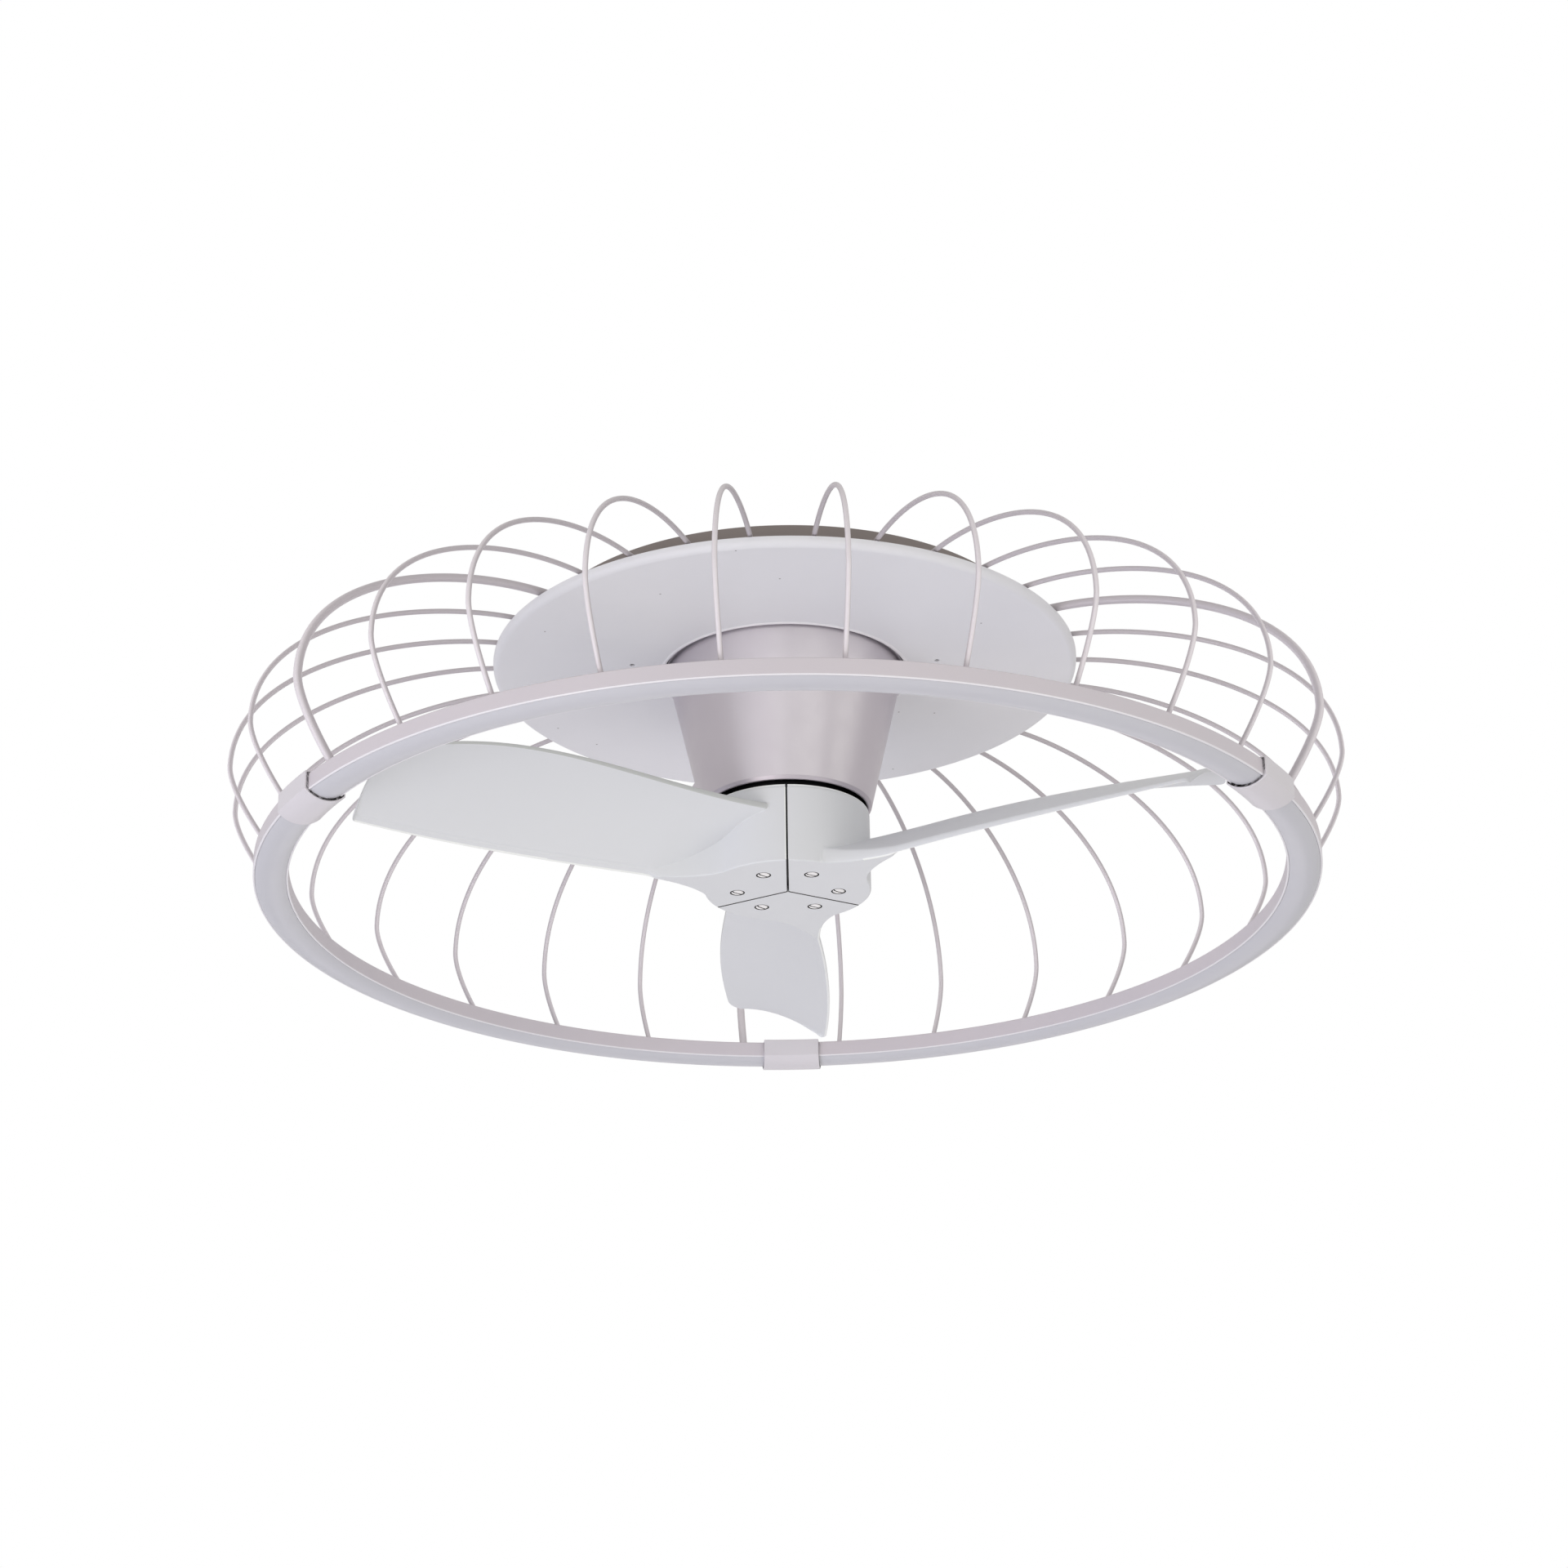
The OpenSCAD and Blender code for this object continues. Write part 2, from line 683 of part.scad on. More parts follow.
// Stacked steel sheets: a yoke on the shaft and teeth with wide shoes
module stator_core() {
    color(steel)
    translate([0, 0, core_z])
    difference() {
        union() {
            cylinder(r = core_yoke_r, h = core_h);
            for (k = [0 : tooth_count - 1])
                rotate(360 / tooth_count * k) {
                    translate([core_yoke_r - 1, -tooth_w / 2, 0])
                        cube([core_r - core_yoke_r - 1, tooth_w, core_h]);
                    tooth_shoe();
                }
        }
        translate([0, 0, -1]) cylinder(r = shaft_r, h = core_h + 2);
    }
}

module tooth_shoe() {
    span = 360 / tooth_count * 0.8;
    rotate(-span / 2)
    rotate_extrude(angle = span, $fn = 180)
        translate([core_r - core_shoe_t, 0]) square([core_shoe_t, core_h]);
}

// One copper coil round each tooth
module stator_windings() {
    coil_in = core_yoke_r + 1;
    coil_len = core_r - core_shoe_t - coil_in - 0.5;
    coil_w = 3;
    clear = 0.2;
    color(copper)
    for (k = [0 : tooth_count - 1])
        rotate(360 / tooth_count * k)
        translate([coil_in, 0, core_z])
        difference() {
            translate([0, -tooth_w / 2 - coil_w, -winding_over])
                cube([coil_len, tooth_w + 2 * coil_w, core_h + 2 * winding_over]);
            translate([-1, -tooth_w / 2 - clear, -clear])
                cube([coil_len + 2, tooth_w + 2 * clear, core_h + 2 * clear]);
            for (side = [-1, 1]) coil_relief(side, coil_w);
        }
}

// Coils narrow towards the yoke so that neighbours stay apart
module coil_relief(side, coil_w) {
    half = 180 / tooth_count;
    mirror([0, side > 0 ? 0 : 1, 0])
    translate([-core_yoke_r - 1, 0, -winding_over - 1])
    rotate(half) translate([0, -0.3, 0])
        cube([2 * core_r, 2 * core_r, core_h + 2 * winding_over + 2]);
}

// The turning drum: a floor that carries the blades, a wall, and a bearing seat
module rotor_drum() {
    seat_z = drum_bottom + drum_floor;
    seat_h = lower_bearing_z + bearing_w * 0.8 - seat_z;
    color(steel)
    difference() {
        union() {
            translate([0, 0, drum_bottom]) cylinder(r = drum_r, h = drum_floor);
            tube(drum_r, drum_inner_r, drum_h - drum_floor, drum_bottom);
            tube(seat_r + seat_wall, seat_r, seat_h + EPS, seat_z - EPS);
            tube(seat_r + 1, cap_lip_r, lower_bearing_z - seat_z, seat_z);
        }
        for (b = blade_angles) for (side = [-1, 1])
            translate(polar(blade_screw_r, b + side * blade_screw_angle))
                translate([0, 0, drum_bottom - 1])
                cylinder(r = screw_r, h = drum_floor + 2, $fn = 32);
    }
}

// The drum's cap, with the collar that hangs on the upper bearing
module rotor_cap() {
    cap_z = drum_top - drum_floor;
    collar_top = upper_bearing_z + bearing_w;
    color(steel)
    union() {
        tube(drum_r, seat_r, drum_floor, cap_z);
        tube(seat_r + seat_wall, seat_r, collar_top - drum_top + EPS, drum_top - EPS);
        tube(seat_r + seat_wall, cap_lip_r, bearing_lip, collar_top);
    }
}

// Curved magnets side by side on the inside of the drum's wall
module rotor_magnets() {
    span = 360 / magnet_count - 1.6;
    color(black)
    for (k = [0 : magnet_count - 1])
        rotate(360 / magnet_count * k - span / 2)
        rotate_extrude(angle = span, $fn = 180)
            translate([magnet_inner_r, core_z - 2]) square([magnet_t, core_h + 4]);
}

// ------------------------------------------------------------------ blades
// A blade is lofted through sections across its length.  In a section, x runs
// from the trailing edge to the leading edge and z is the height above the
// hub's underside.  Each section has the same columns of points, so that the
// fairing under the root can grow out of the lower skin.

// Plan of the crease where the root fairing leaves the hub and runs out
crease_u = [hub_r - 2.5, hub_r - 1, hub_r + 16, fairing_r];
crease_t = [16, 2, -10, -17.2];
crease_steps = 7;
span_steps = 10;
corner_steps = 4;
under_columns = 7;
draft = 1.5;
// Radius inside the hub from which a blade's curves are counted
span_start = 40;
inner_start = [span_start - 10, span_start];

section_radii = concat(
    inner_start,
    [for (i = [0 : crease_steps]) bezier(crease_u, i / crease_steps)],
    [for (i = [1 : span_steps]) lerp(fairing_r, blade_r - lead_corner, i / span_steps)],
    [for (i = [1 : corner_steps]) blade_r - lead_corner + lead_corner * sin(90 * i / corner_steps)]
);

function span_share(r) = (r - span_start) / (blade_r - span_start);
function outer_share(r) = max(0, (r - fairing_r) / (blade_r - fairing_r));
function corner_cut(r, c) =
    let (d = r - (blade_r - c))
    d > 0 ? c - sqrt(max(0, c * c - d * d)) : 0;

// Leading and trailing edges in plan, as bends from the root to the tip
lead_plan = [36.4, 32.5, 55.6, 40.5];
trail_plan = [-19.2, -25.7, -27.5, -23.4];
// Length over which the trailing edge flares and rises towards the hub
flare_len = 50;
rise_len = 46;
// How far the trailing edge rises at the hub
root_rise = 4.2;
function lead_t(r) = bezier(lead_plan, span_share(r)) - corner_cut(r, lead_corner);
function trail_t(r) =
    let (d = max(0, fairing_r - r) / flare_len)
    bezier(trail_plan, outer_share(r))
    - root_flare * (0.35 * d * d + 0.65 * pow(d, 4))
    + corner_cut(r, trail_corner);

// Heights of the lower skin at the trailing edge, the middle and the leading edge
trail_rise = [0.3, 0.3, -0.6, 2.8];
middle_rise = [18.5, 31, 30.5, 23.5];
lead_rise = [33.8, 34.7, 45.9, 22.4];
function trail_z(r) =
    bezier(trail_rise, outer_share(r)) + root_rise * pow(max(0, fairing_r - r) / rise_len, 1.5);
function middle_z(r) = bezier(middle_rise, span_share(r));
function lead_z(r) = bezier(lead_rise, span_share(r));
function skin_t(r, s) =
    lerp(blade_root_t, blade_tip_t, pow(max(0, span_share(r)), 0.6)) * (1 - 0.3 * pow(s, 4));
function under_z(r, s) =
    pow(1 - s, 2) * trail_z(r) + 2 * s * (1 - s) * middle_z(r) + s * s * lead_z(r);
function edge_round(r) = 0.35 * skin_t(r, 0);

// Where the fairing's side wall stands in each section
function crease_at(i) =
    let (k = i - len(inner_start))
    k < 0 ? crease_t[0] + (crease_u[0] - inner_start[i]) * 0.7
    : k <= crease_steps ? bezier(crease_t, k / crease_steps)
    : trail_t(section_radii[i]) + 2;

function columns(i) =
    let (
        r = section_radii[i],
        low = trail_t(r) + edge_round(r),
        high = lead_t(r) - edge_round(r),
        crease = max(crease_at(i), low + 1.2)
    )
    concat(
        [low, crease],
        [for (k = [0 : under_columns]) lerp(crease + draft, high, k / under_columns)]
    );

// A point of the loft: outer sections bend into the circle of the tips
function blade_point(r, t, z) =
    let (bend = pow(outer_share(r), 2))
    [lerp(r, sqrt(max(1, r * r - t * t)), bend), t, z];

function section(i) =
    let (
        r = section_radii[i],
        cols = columns(i),
        last = len(cols) - 1,
        t0 = trail_t(r),
        t1 = lead_t(r),
        in_fairing = i < len(inner_start) + crease_steps,
        share = [for (t = cols) (t - t0) / (t1 - t0)],
        low = [for (j = [0 : last]) in_fairing && j < 2 ? 0 : under_z(r, share[j])],
        high = [for (j = [0 : last]) under_z(r, share[j]) + skin_t(r, share[j])]
    )
    concat(
        [for (j = [0 : last]) blade_point(r, cols[j], low[j])],
        [blade_point(r, t1, (low[last] + high[last]) / 2)],
        [for (j = [last : -1 : 0]) blade_point(r, cols[j], high[j])],
        [blade_point(r, t0, (low[0] + high[0]) / 2)]
    );

module blade_loft() {
    sections = [for (i = [0 : len(section_radii) - 1]) section(i)];
    n = len(sections[0]);
    top = len(sections) - 1;
    last = under_columns + 2;
    function cap_quads(base) = [
        for (j = [0 : last - 1])
            [base + j, base + j + 1, base + 2 * last + 1 - j, base + 2 * last + 2 - j]
    ];
    function split(q) = [[q[0], q[1], q[2]], [q[0], q[2], q[3]]];
    function flip(f) = [f[2], f[1], f[0]];
    start_cap = concat(
        [for (q = cap_quads(0)) each split(q)],
        [[last, last + 1, last + 2], [0, 2 * last + 2, 2 * last + 3]]
    );
    shift = top * n;
    end_cap = [for (f = start_cap) flip([f[0] + shift, f[1] + shift, f[2] + shift])];
    sides = [
        for (i = [0 : top - 1]) for (j = [0 : n - 1])
            let (a = i * n + j, b = i * n + (j + 1) % n)
            each [[a, a + n, b + n], [a, b + n, b]]
    ];
    polyhedron(points = [for (s = sections) each s], faces = concat(start_cap, end_cap, sides));
}

// One blade with its third of the hub
module blade(angle) {
    color(moulding)
    translate([0, 0, hub_bottom])
    rotate(angle)
    difference() {
        union() {
            hub_third();
            blade_loft();
        }
        translate([0, 0, hub_floor]) cylinder(r = hub_r - hub_wall, h = hub_h, $fn = 180);
        for (side = [-1, 1])
            translate(polar(blade_screw_r, side * blade_screw_angle)) translate([0, 0, -1]) {
                cylinder(r = screw_r + hole_gap, h = hub_floor + 2, $fn = 32);
                cylinder(r = screw_head_r + hole_gap, h = blade_screw_seat + 1, $fn = 48);
            }
    }
}

module hub_third() {
    reach = 2 * hub_r;
    intersection() {
        cylinder(r = hub_r, h = hub_h, $fn = 180);
        translate([seam / 2 / sin(60), 0, -1]) linear_extrude(hub_h + 2)
            polygon([[0, 0], polar(reach, -60), [reach, 0], polar(reach, 60)]);
    }
}

module blade_a() { blade(blade_angles[0]); }
module blade_b() { blade(blade_angles[1]); }
module blade_c() { blade(blade_angles[2]); }

module blade_screws() {
    color(steel)
    for (b = blade_angles) for (side = [-1, 1])
        translate(polar(blade_screw_r, b + side * blade_screw_angle))
            translate([0, 0, hub_bottom + blade_screw_seat]) screw(blade_screw_len);
}

// ---------------------------------------------------------------- wire cage

module cage_hoop() {
    color(paint)
    translate([0, 0, plate_top])
    difference() {
        cylinder(r = hoop_r, h = hoop_t, $fn = FINE);
        translate([0, 0, -1]) cylinder(r = hoop_inner_r, h = hoop_t + 2, $fn = FINE);
        for (a = hoop_screw_angles)
            translate(polar(hoop_screw_r, a)) translate([0, 0, -1])
                cylinder(r = screw_r + hole_gap, h = hoop_t + 2, $fn = 32);
    }
}

// The bend of a rib in the plane of radius and height: out along the top from
// the hoop, round the belly, and down on to the top of the ring
rib_end_r = ring_r - rib_end_inset;
belly_r = ring_r + belly_out;
belly_z = level(belly_level);
upper_steps = 10;
lower_steps = 7;
// Handle of the last bend, out and up from the end of the wire
end_bend = [2.7, 2.9];
// How far in from the hoop's edge a rib starts
foot_seat = 5;

function upper_bend(foot_r, foot_z) = [
    [foot_r, foot_z],
    [foot_r + rib_run * (belly_r - foot_r), foot_z],
    [belly_r, belly_z + rib_shoulder * (foot_z - belly_z)],
    [belly_r, belly_z]
];
lower_bend = [
    [belly_r, belly_z],
    [belly_r, belly_z - rib_drop * (belly_z - ring_top)],
    [rib_end_r + end_bend[0], ring_top + end_bend[1]],
    [rib_end_r, ring_top]
];
function slope(p, t) =
    let (v = 3 * pow(1 - t, 2) * (p[1] - p[0]) + 6 * t * (1 - t) * (p[2] - p[1]) + 3 * t * t * (p[3] - p[2]))
    v / norm(v);

// Sweeps a round bar along the bend; both ends are cut flat on their seats
module bent_bar(diameter, sides) {
    flat_r = diameter / 2 / cos(180 / sides);
    start_r = hoop_r - foot_seat;
    foot_r = start_r + foot_len;
    foot_z = hoop_top + diameter / 2;
    upper = upper_bend(foot_r, foot_z);
    path = concat(
        [[[start_r, foot_z], [1, 0]]],
        [for (i = [0 : upper_steps - 1])
            [bezier(upper, i / upper_steps), slope(upper, i / upper_steps)]],
        [for (i = [0 : lower_steps])
            [bezier(lower_bend, i / lower_steps), slope(lower_bend, i / lower_steps)]]
    );
    count = len(path);
    function corner(i, j) =
        let (
            p = path[i][0],
            d = path[i][1],
            a = 360 / sides * (j + 0.5),
            across = flat_r * sin(a),
            up = flat_r * cos(a),
            r = p[0] - d[1] * up,
            z = p[1] + d[0] * up,
            slide = i == count - 1 ? (ring_top - z) / d[1] : 0
        )
        [r + d[0] * slide, across, z + d[1] * slide];
    points = [for (i = [0 : count - 1]) for (j = [0 : sides - 1]) corner(i, j)];
    skin = [
        for (i = [0 : count - 2]) for (j = [0 : sides - 1])
            let (a = i * sides + j, b = i * sides + (j + 1) % sides)
            each [[a, b, b + sides], [a, b + sides, a + sides]]
    ];
    first = [for (j = [sides - 1 : -1 : 0]) j];
    final = [for (j = [0 : sides - 1]) (count - 1) * sides + j];
    polyhedron(points = points, faces = concat([first], skin, [final]));
}

module wire_rib(i) {
    color(paint) rotate(rib_pitch * i) bent_bar(wire_d, 8);
}

module lead_tube(i) {
    color(paint) rotate(rib_pitch * i) bent_bar(lead_d, 10);
}

// --------------------------------------------------------------- light ring

// Turns a section of the ring through the stretch between two joints
module ring_sweep(k, trim) {
    rotate(joint_angles[k] + trim / 2)
    rotate_extrude(angle = 120 - trim, $fn = 360) children();
}

module ring_segment(k) {
    inside = ring_w - 2 * ring_wall;
    color(paint)
    ring_sweep(k, joint_gap_angle)
    difference() {
        translate([ring_inner_r, level(0)]) square([ring_w, ring_h]);
        translate([ring_inner_r + ring_wall, level(-1)]) square([inside, ring_h - ring_wall + 1]);
    }
}

module ring_segment_a() { ring_segment(0); }
module ring_segment_b() { ring_segment(1); }
module ring_segment_c() { ring_segment(2); }

// An opal profile: a bulging face between two legs in the channel
module ring_diffusers() {
    color(opal)
    for (k = [0 : 2])
        ring_sweep(k, joint_gap_angle)
        difference() {
            diffuser_outline(0);
            diffuser_outline(diffuser_wall);
        }
}

module diffuser_outline(inset) {
    r = diffuser_arc_r - inset;
    half = diffuser_half - inset;
    top = diffuser_leg + (inset > 0 ? 1 : 0);
    translate([ring_mid_r, level(0)]) {
        intersection() {
            translate([0, diffuser_arc_r - diffuser_sag]) circle(r = r, $fn = 180);
            translate([-half, -2 * diffuser_sag]) square([2 * half, 2 * diffuser_sag]);
        }
        translate([-half, -EPS]) square([2 * half, top + EPS]);
    }
}

module ring_light_strips() {
    color("khaki")
    for (k = [0 : 2])
        ring_sweep(k, 2 * joint_gap_angle)
        translate([ring_mid_r - strip_w / 2, ring_top - ring_wall - strip_t]) square([strip_w, strip_t]);
}

// A short outer profile over each joint, open above between two lips
module ring_sleeves() {
    color(paint)
    for (a = joint_angles)
        rotate(a - sleeve_angle / 2)
        rotate_extrude(angle = sleeve_angle, $fn = 360)
        difference() {
            sleeve_outline(0);
            sleeve_outline(sleeve_wall);
            translate([ring_inner_r - sleeve_gap + sleeve_lip, ring_top - 1])
                square([ring_w + 2 * sleeve_gap - 2 * sleeve_lip, 5]);
        }
}

module sleeve_outline(inset) {
    half = sleeve_half - inset;
    sag = diffuser_sag + sleeve_gap + sleeve_wall;
    r = arc_r(sleeve_half, sag) - inset;
    high = ring_h + (inset > 0 ? 0 : sleeve_wall);
    translate([ring_mid_r, level(0)]) {
        intersection() {
            translate([0, arc_r(sleeve_half, sag) - sag]) circle(r = r, $fn = 180);
            translate([-half, -2 * sag]) square([2 * half, 2 * sag]);
        }
        translate([-half, -EPS]) square([2 * half, high + EPS]);
    }
}

// ------------------------------------------------------------------- output

ceiling_bracket();
cable_grommet();
ceiling_canopy();
chassis_plate();
terminal_block();
led_driver();
motor_controller();
frame_screws();
disc_cover();
disc_screws();
motor_cover();
motor_shaft();
retaining_rings();
motor_bearings();
stator_core();
stator_windings();
rotor_drum();
rotor_cap();
rotor_magnets();
blade_a();
blade_b();
blade_c();
blade_screws();
cage_hoop();
ring_segment_a();
ring_segment_b();
ring_segment_c();
ring_diffusers();
ring_light_strips();
ring_sleeves();
for (k = [0 : len(wire_names) - 1])
    wire_rib(wire_indexes[k]);
for (k = [0 : len(lead_names) - 1])
    lead_tube(lead_indexes[k]);
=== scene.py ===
# %% [markdown]
# # A ceiling fan in a cage of bent wires
#
# This lesson dresses a finished technical model of a ceiling fan. The model is
# exact, but its faces are plain and its edges are knife sharp. Here each
# visible piece is shaped again with the soft edges that paint, bending and
# moulding leave, and each surface gets a finish with its own grain.

import math

import bmesh
import bpy
from mathutils import Matrix, Vector


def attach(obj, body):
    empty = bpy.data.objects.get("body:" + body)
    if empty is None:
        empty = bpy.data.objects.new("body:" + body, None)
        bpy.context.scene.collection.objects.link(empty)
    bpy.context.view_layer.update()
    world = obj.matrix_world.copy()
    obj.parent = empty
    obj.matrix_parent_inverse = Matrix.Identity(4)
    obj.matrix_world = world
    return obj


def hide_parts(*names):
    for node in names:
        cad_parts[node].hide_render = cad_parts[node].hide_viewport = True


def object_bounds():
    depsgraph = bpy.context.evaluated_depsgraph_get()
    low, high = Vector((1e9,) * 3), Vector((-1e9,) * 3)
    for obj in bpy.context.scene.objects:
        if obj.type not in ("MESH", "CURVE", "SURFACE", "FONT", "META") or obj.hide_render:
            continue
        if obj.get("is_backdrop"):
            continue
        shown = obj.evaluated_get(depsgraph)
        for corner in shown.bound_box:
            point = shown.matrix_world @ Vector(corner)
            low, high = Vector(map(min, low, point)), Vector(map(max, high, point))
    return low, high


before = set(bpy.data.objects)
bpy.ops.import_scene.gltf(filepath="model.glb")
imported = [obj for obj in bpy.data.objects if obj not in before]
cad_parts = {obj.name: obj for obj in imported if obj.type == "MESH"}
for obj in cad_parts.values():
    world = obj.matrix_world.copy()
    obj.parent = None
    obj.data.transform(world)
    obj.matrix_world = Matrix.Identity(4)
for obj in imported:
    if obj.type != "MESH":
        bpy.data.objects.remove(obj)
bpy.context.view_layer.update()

# %% [markdown]
# ## Sizes
#
# Lengths are written in millimetres, as a maker would write them, and turned
# into metres when a mesh is made. Heights are measured up from the lower edge
# of the ring, called levels, because every part of the fan was gauged from it.

# %% The main sizes
MM = 0.001
RING_DROP = 173.0
RING_R, RING_W, RING_H = 318.0, 20.7, 10.0
RING_MID = RING_R - RING_W / 2
RING_TOP = RING_H - RING_DROP
PLATE_TOP = -22.0
HOOP_TOP = PLATE_TOP + 1.2
JOINTS = (90, 210, 330)
print("ring outside", 2 * RING_R, "mm, hangs", RING_DROP, "mm below the ceiling")


def level(height):
    """A level above the ring's lower edge, as a height in the frame."""
    return height - RING_DROP


def stand(name, data):
    """A new object in the scene: a mesh, a lamp or the camera."""
    thing = bpy.data.objects.new(name, data)
    bpy.context.scene.collection.objects.link(thing)
    return thing


# %% [markdown]
# ## The camera
#
# The fan is looked at from below and in front, with a long portrait lens, so
# the ring becomes a slim ellipse. The place and the tilt were worked out from
# that ellipse. The tiny roll, and the turn by a fifth of a degree, are the
# photographer's, not the fan's.

# %% Place the camera
PITCH, ROLL, TURN = 0.4019, -0.0137, math.radians(0.2)
STAND = Vector((-0.0015, -2.0278, -0.9615))
level_right = Vector((1, 0, 0))
looking = Vector((0, math.cos(PITCH), math.sin(PITCH)))
level_up = level_right.cross(looking)
right = level_right * math.cos(ROLL) + level_up * math.sin(ROLL)
up = level_up * math.cos(ROLL) - level_right * math.sin(ROLL)

camera = stand("camera", bpy.data.cameras.new("camera"))
camera.data.sensor_width = 36
camera.data.lens = 83.26
camera.data.clip_end = 100
camera.matrix_world = Matrix.Rotation(TURN, 4, "Z") @ Matrix((
    (right.x, up.x, -looking.x, STAND.x),
    (right.y, up.y, -looking.y, STAND.y),
    (right.z, up.z, -looking.z, STAND.z),
    (0, 0, 0, 1),
))
bpy.context.scene.camera = camera
print("the camera looks up by", round(math.degrees(PITCH), 1), "degrees")

# %% [markdown]
# ## Materials from nodes
#
# A finish is more than one colour. Even white paint varies a little from
# place to place, its gloss is never quite even, and its skin has a fine
# grain. A small kit of helpers wires those three things once: a slow change
# of colour, a change of gloss, and a grain that tips the surface.

# %% Helpers for nodes and numbers


def node(tree, kind, **values):
    """A new node; values go to its properties or to its inputs."""
    made = tree.nodes.new("ShaderNode" + kind)
    for key, value in values.items():
        if hasattr(made, key):
            setattr(made, key, value)
        else:
            made.inputs[key.replace("_", " ")].default_value = value
    return made


def noise(tree, where, scale, detail=3.0):
    """Soft random clouds; scale is in waves per metre."""
    made = node(tree, "TexNoise", Scale=scale, Detail=detail, Roughness=0.55)
    tree.links.new(where.outputs["Object"], made.inputs["Vector"])
    return made.outputs["Fac"]


def ramp(tree, amount, first, last, low=0.0, high=1.0):
    """A number that runs from low to high as amount goes from first to last."""
    made = node(tree, "MapRange", From_Min=first, From_Max=last, To_Min=low, To_Max=high)
    tree.links.new(amount, made.inputs["Value"])
    return made.outputs["Result"]


def between(tree, clouds, low=0.0, high=1.0):
    """The same for a noise, which seldom leaves 0.3 to 0.7."""
    return ramp(tree, clouds, 0.3, 0.7, low, high)


def maths(tree, kind, operation, first, second=None):
    """One sum in a Math or VectorMath node; second is a number or a socket."""
    made = node(tree, kind, operation=operation)
    tree.links.new(first, made.inputs[0])
    if isinstance(second, (float, tuple)):
        made.inputs[1].default_value = second
    elif second is not None:
        tree.links.new(second, made.inputs[1])
    gives_number = kind == "Math" or operation == "DOT_PRODUCT"
    return made.outputs["Value" if gives_number else "Vector"]


print("helpers for numbers:", ", ".join(f.__name__ for f in (noise, ramp, between, maths)))

# %% [markdown]
# A finish starts as an empty material. A number mixes its colours, and a
# height map tips its surface: grain this fine would need millions of faces as
# a mesh, and costs next to nothing as a tilt of the light.

# %% Helpers for colours and grain


def tint(tree, amount, first, second):
    """A colour between two colours."""
    made = node(tree, "MixRGB")
    tree.links.new(amount, made.inputs["Fac"])
    for key, colour in (("Color1", first), ("Color2", second)):
        if isinstance(colour, tuple):
            made.inputs[key].default_value = (*colour, 1)
        else:
            tree.links.new(colour, made.inputs[key])
    return made.outputs["Color"]


def new_finish(name):
    """An empty material with its shader and the object's own coordinates."""
    material = bpy.data.materials.new(name)
    material.use_nodes = True
    tree = material.node_tree
    shader = tree.nodes["Principled BSDF"]
    where = node(tree, "TexCoord")
    return material, tree, shader, where


def grain(tree, shader, heights, strength, depth):
    """Tips the surface by a height map; depth is in metres."""
    bump = node(tree, "Bump", Strength=strength, Distance=depth)
    tree.links.new(heights, bump.inputs["Height"])
    tree.links.new(bump.outputs["Normal"], shader.inputs["Normal"])


print("helpers for finishes:", ", ".join(f.__name__ for f in (tint, new_finish, grain)))

# %% [markdown]
# ### Powder coat
#
# The cage, the ring and the disc are steel under a baked powder coat. The
# wires get a darker grey on their flanks, the sides that face neither the
# fan's axis nor away from it: painted shade along the edges of each wire. A
# few specks of dust settle in the coat. They are drawn as dark points at the
# seeds of a few cells of a Voronoi pattern.

# %% Painted shade on the wires' flanks, and specks of dust
SPECKS_PER_METRE, SPECK_SIZE, DUST = 42.0, 0.024, (0.16, 0.13, 0.14)


def flank(tree, where):
    """1 on the two sides of a rib, 0 where it faces the fan's axis or away from it."""
    level_place = maths(tree, "VectorMath", "MULTIPLY", where.outputs["Object"], (1, 1, 0))
    outwards = maths(tree, "VectorMath", "NORMALIZE", level_place)
    facing = maths(tree, "VectorMath", "DOT_PRODUCT", outwards, where.outputs["Normal"])
    return ramp(tree, maths(tree, "Math", "ABSOLUTE", facing), 0.8, 0.25)


def speckled(tree, where, colour, strength, rarity, flat):
    """Dark points of dust over a colour; the higher the rarity, the fewer."""
    dots = node(tree, "TexVoronoi", Scale=SPECKS_PER_METRE, Randomness=1.0)
    dots.voronoi_dimensions = "2D" if flat else "3D"
    tree.links.new(where.outputs["Object"], dots.inputs["Vector"])
    parts = node(tree, "SeparateColor")
    tree.links.new(dots.outputs["Color"], parts.inputs["Color"])
    small = maths(tree, "Math", "LESS_THAN", dots.outputs["Distance"], SPECK_SIZE)
    rare = maths(tree, "Math", "GREATER_THAN", parts.outputs[0], rarity)
    both = maths(tree, "Math", "MULTIPLY", small, rare)
    return tint(tree, maths(tree, "Math", "MULTIPLY", both, strength), colour, DUST)


print("a speck is", round(2000 * SPECK_SIZE / SPECKS_PER_METRE, 1), "mm wide")

# %% [markdown]
# The coat is a pale grey with a breath of lilac. Powder flows as it bakes and
# leaves a very fine orange peel, so the gloss is soft and broken. The wires,
# the disc and the sleeves wear the same coat as the ring, but get lighter
# copies of it: painted light. A still lighter copy on round edges is a painted
# highlight, and the near-black copy is painted shade in a gap. One function
# makes all the coats, because they differ in colour, gloss and dust only.

# %% Make the powder coats


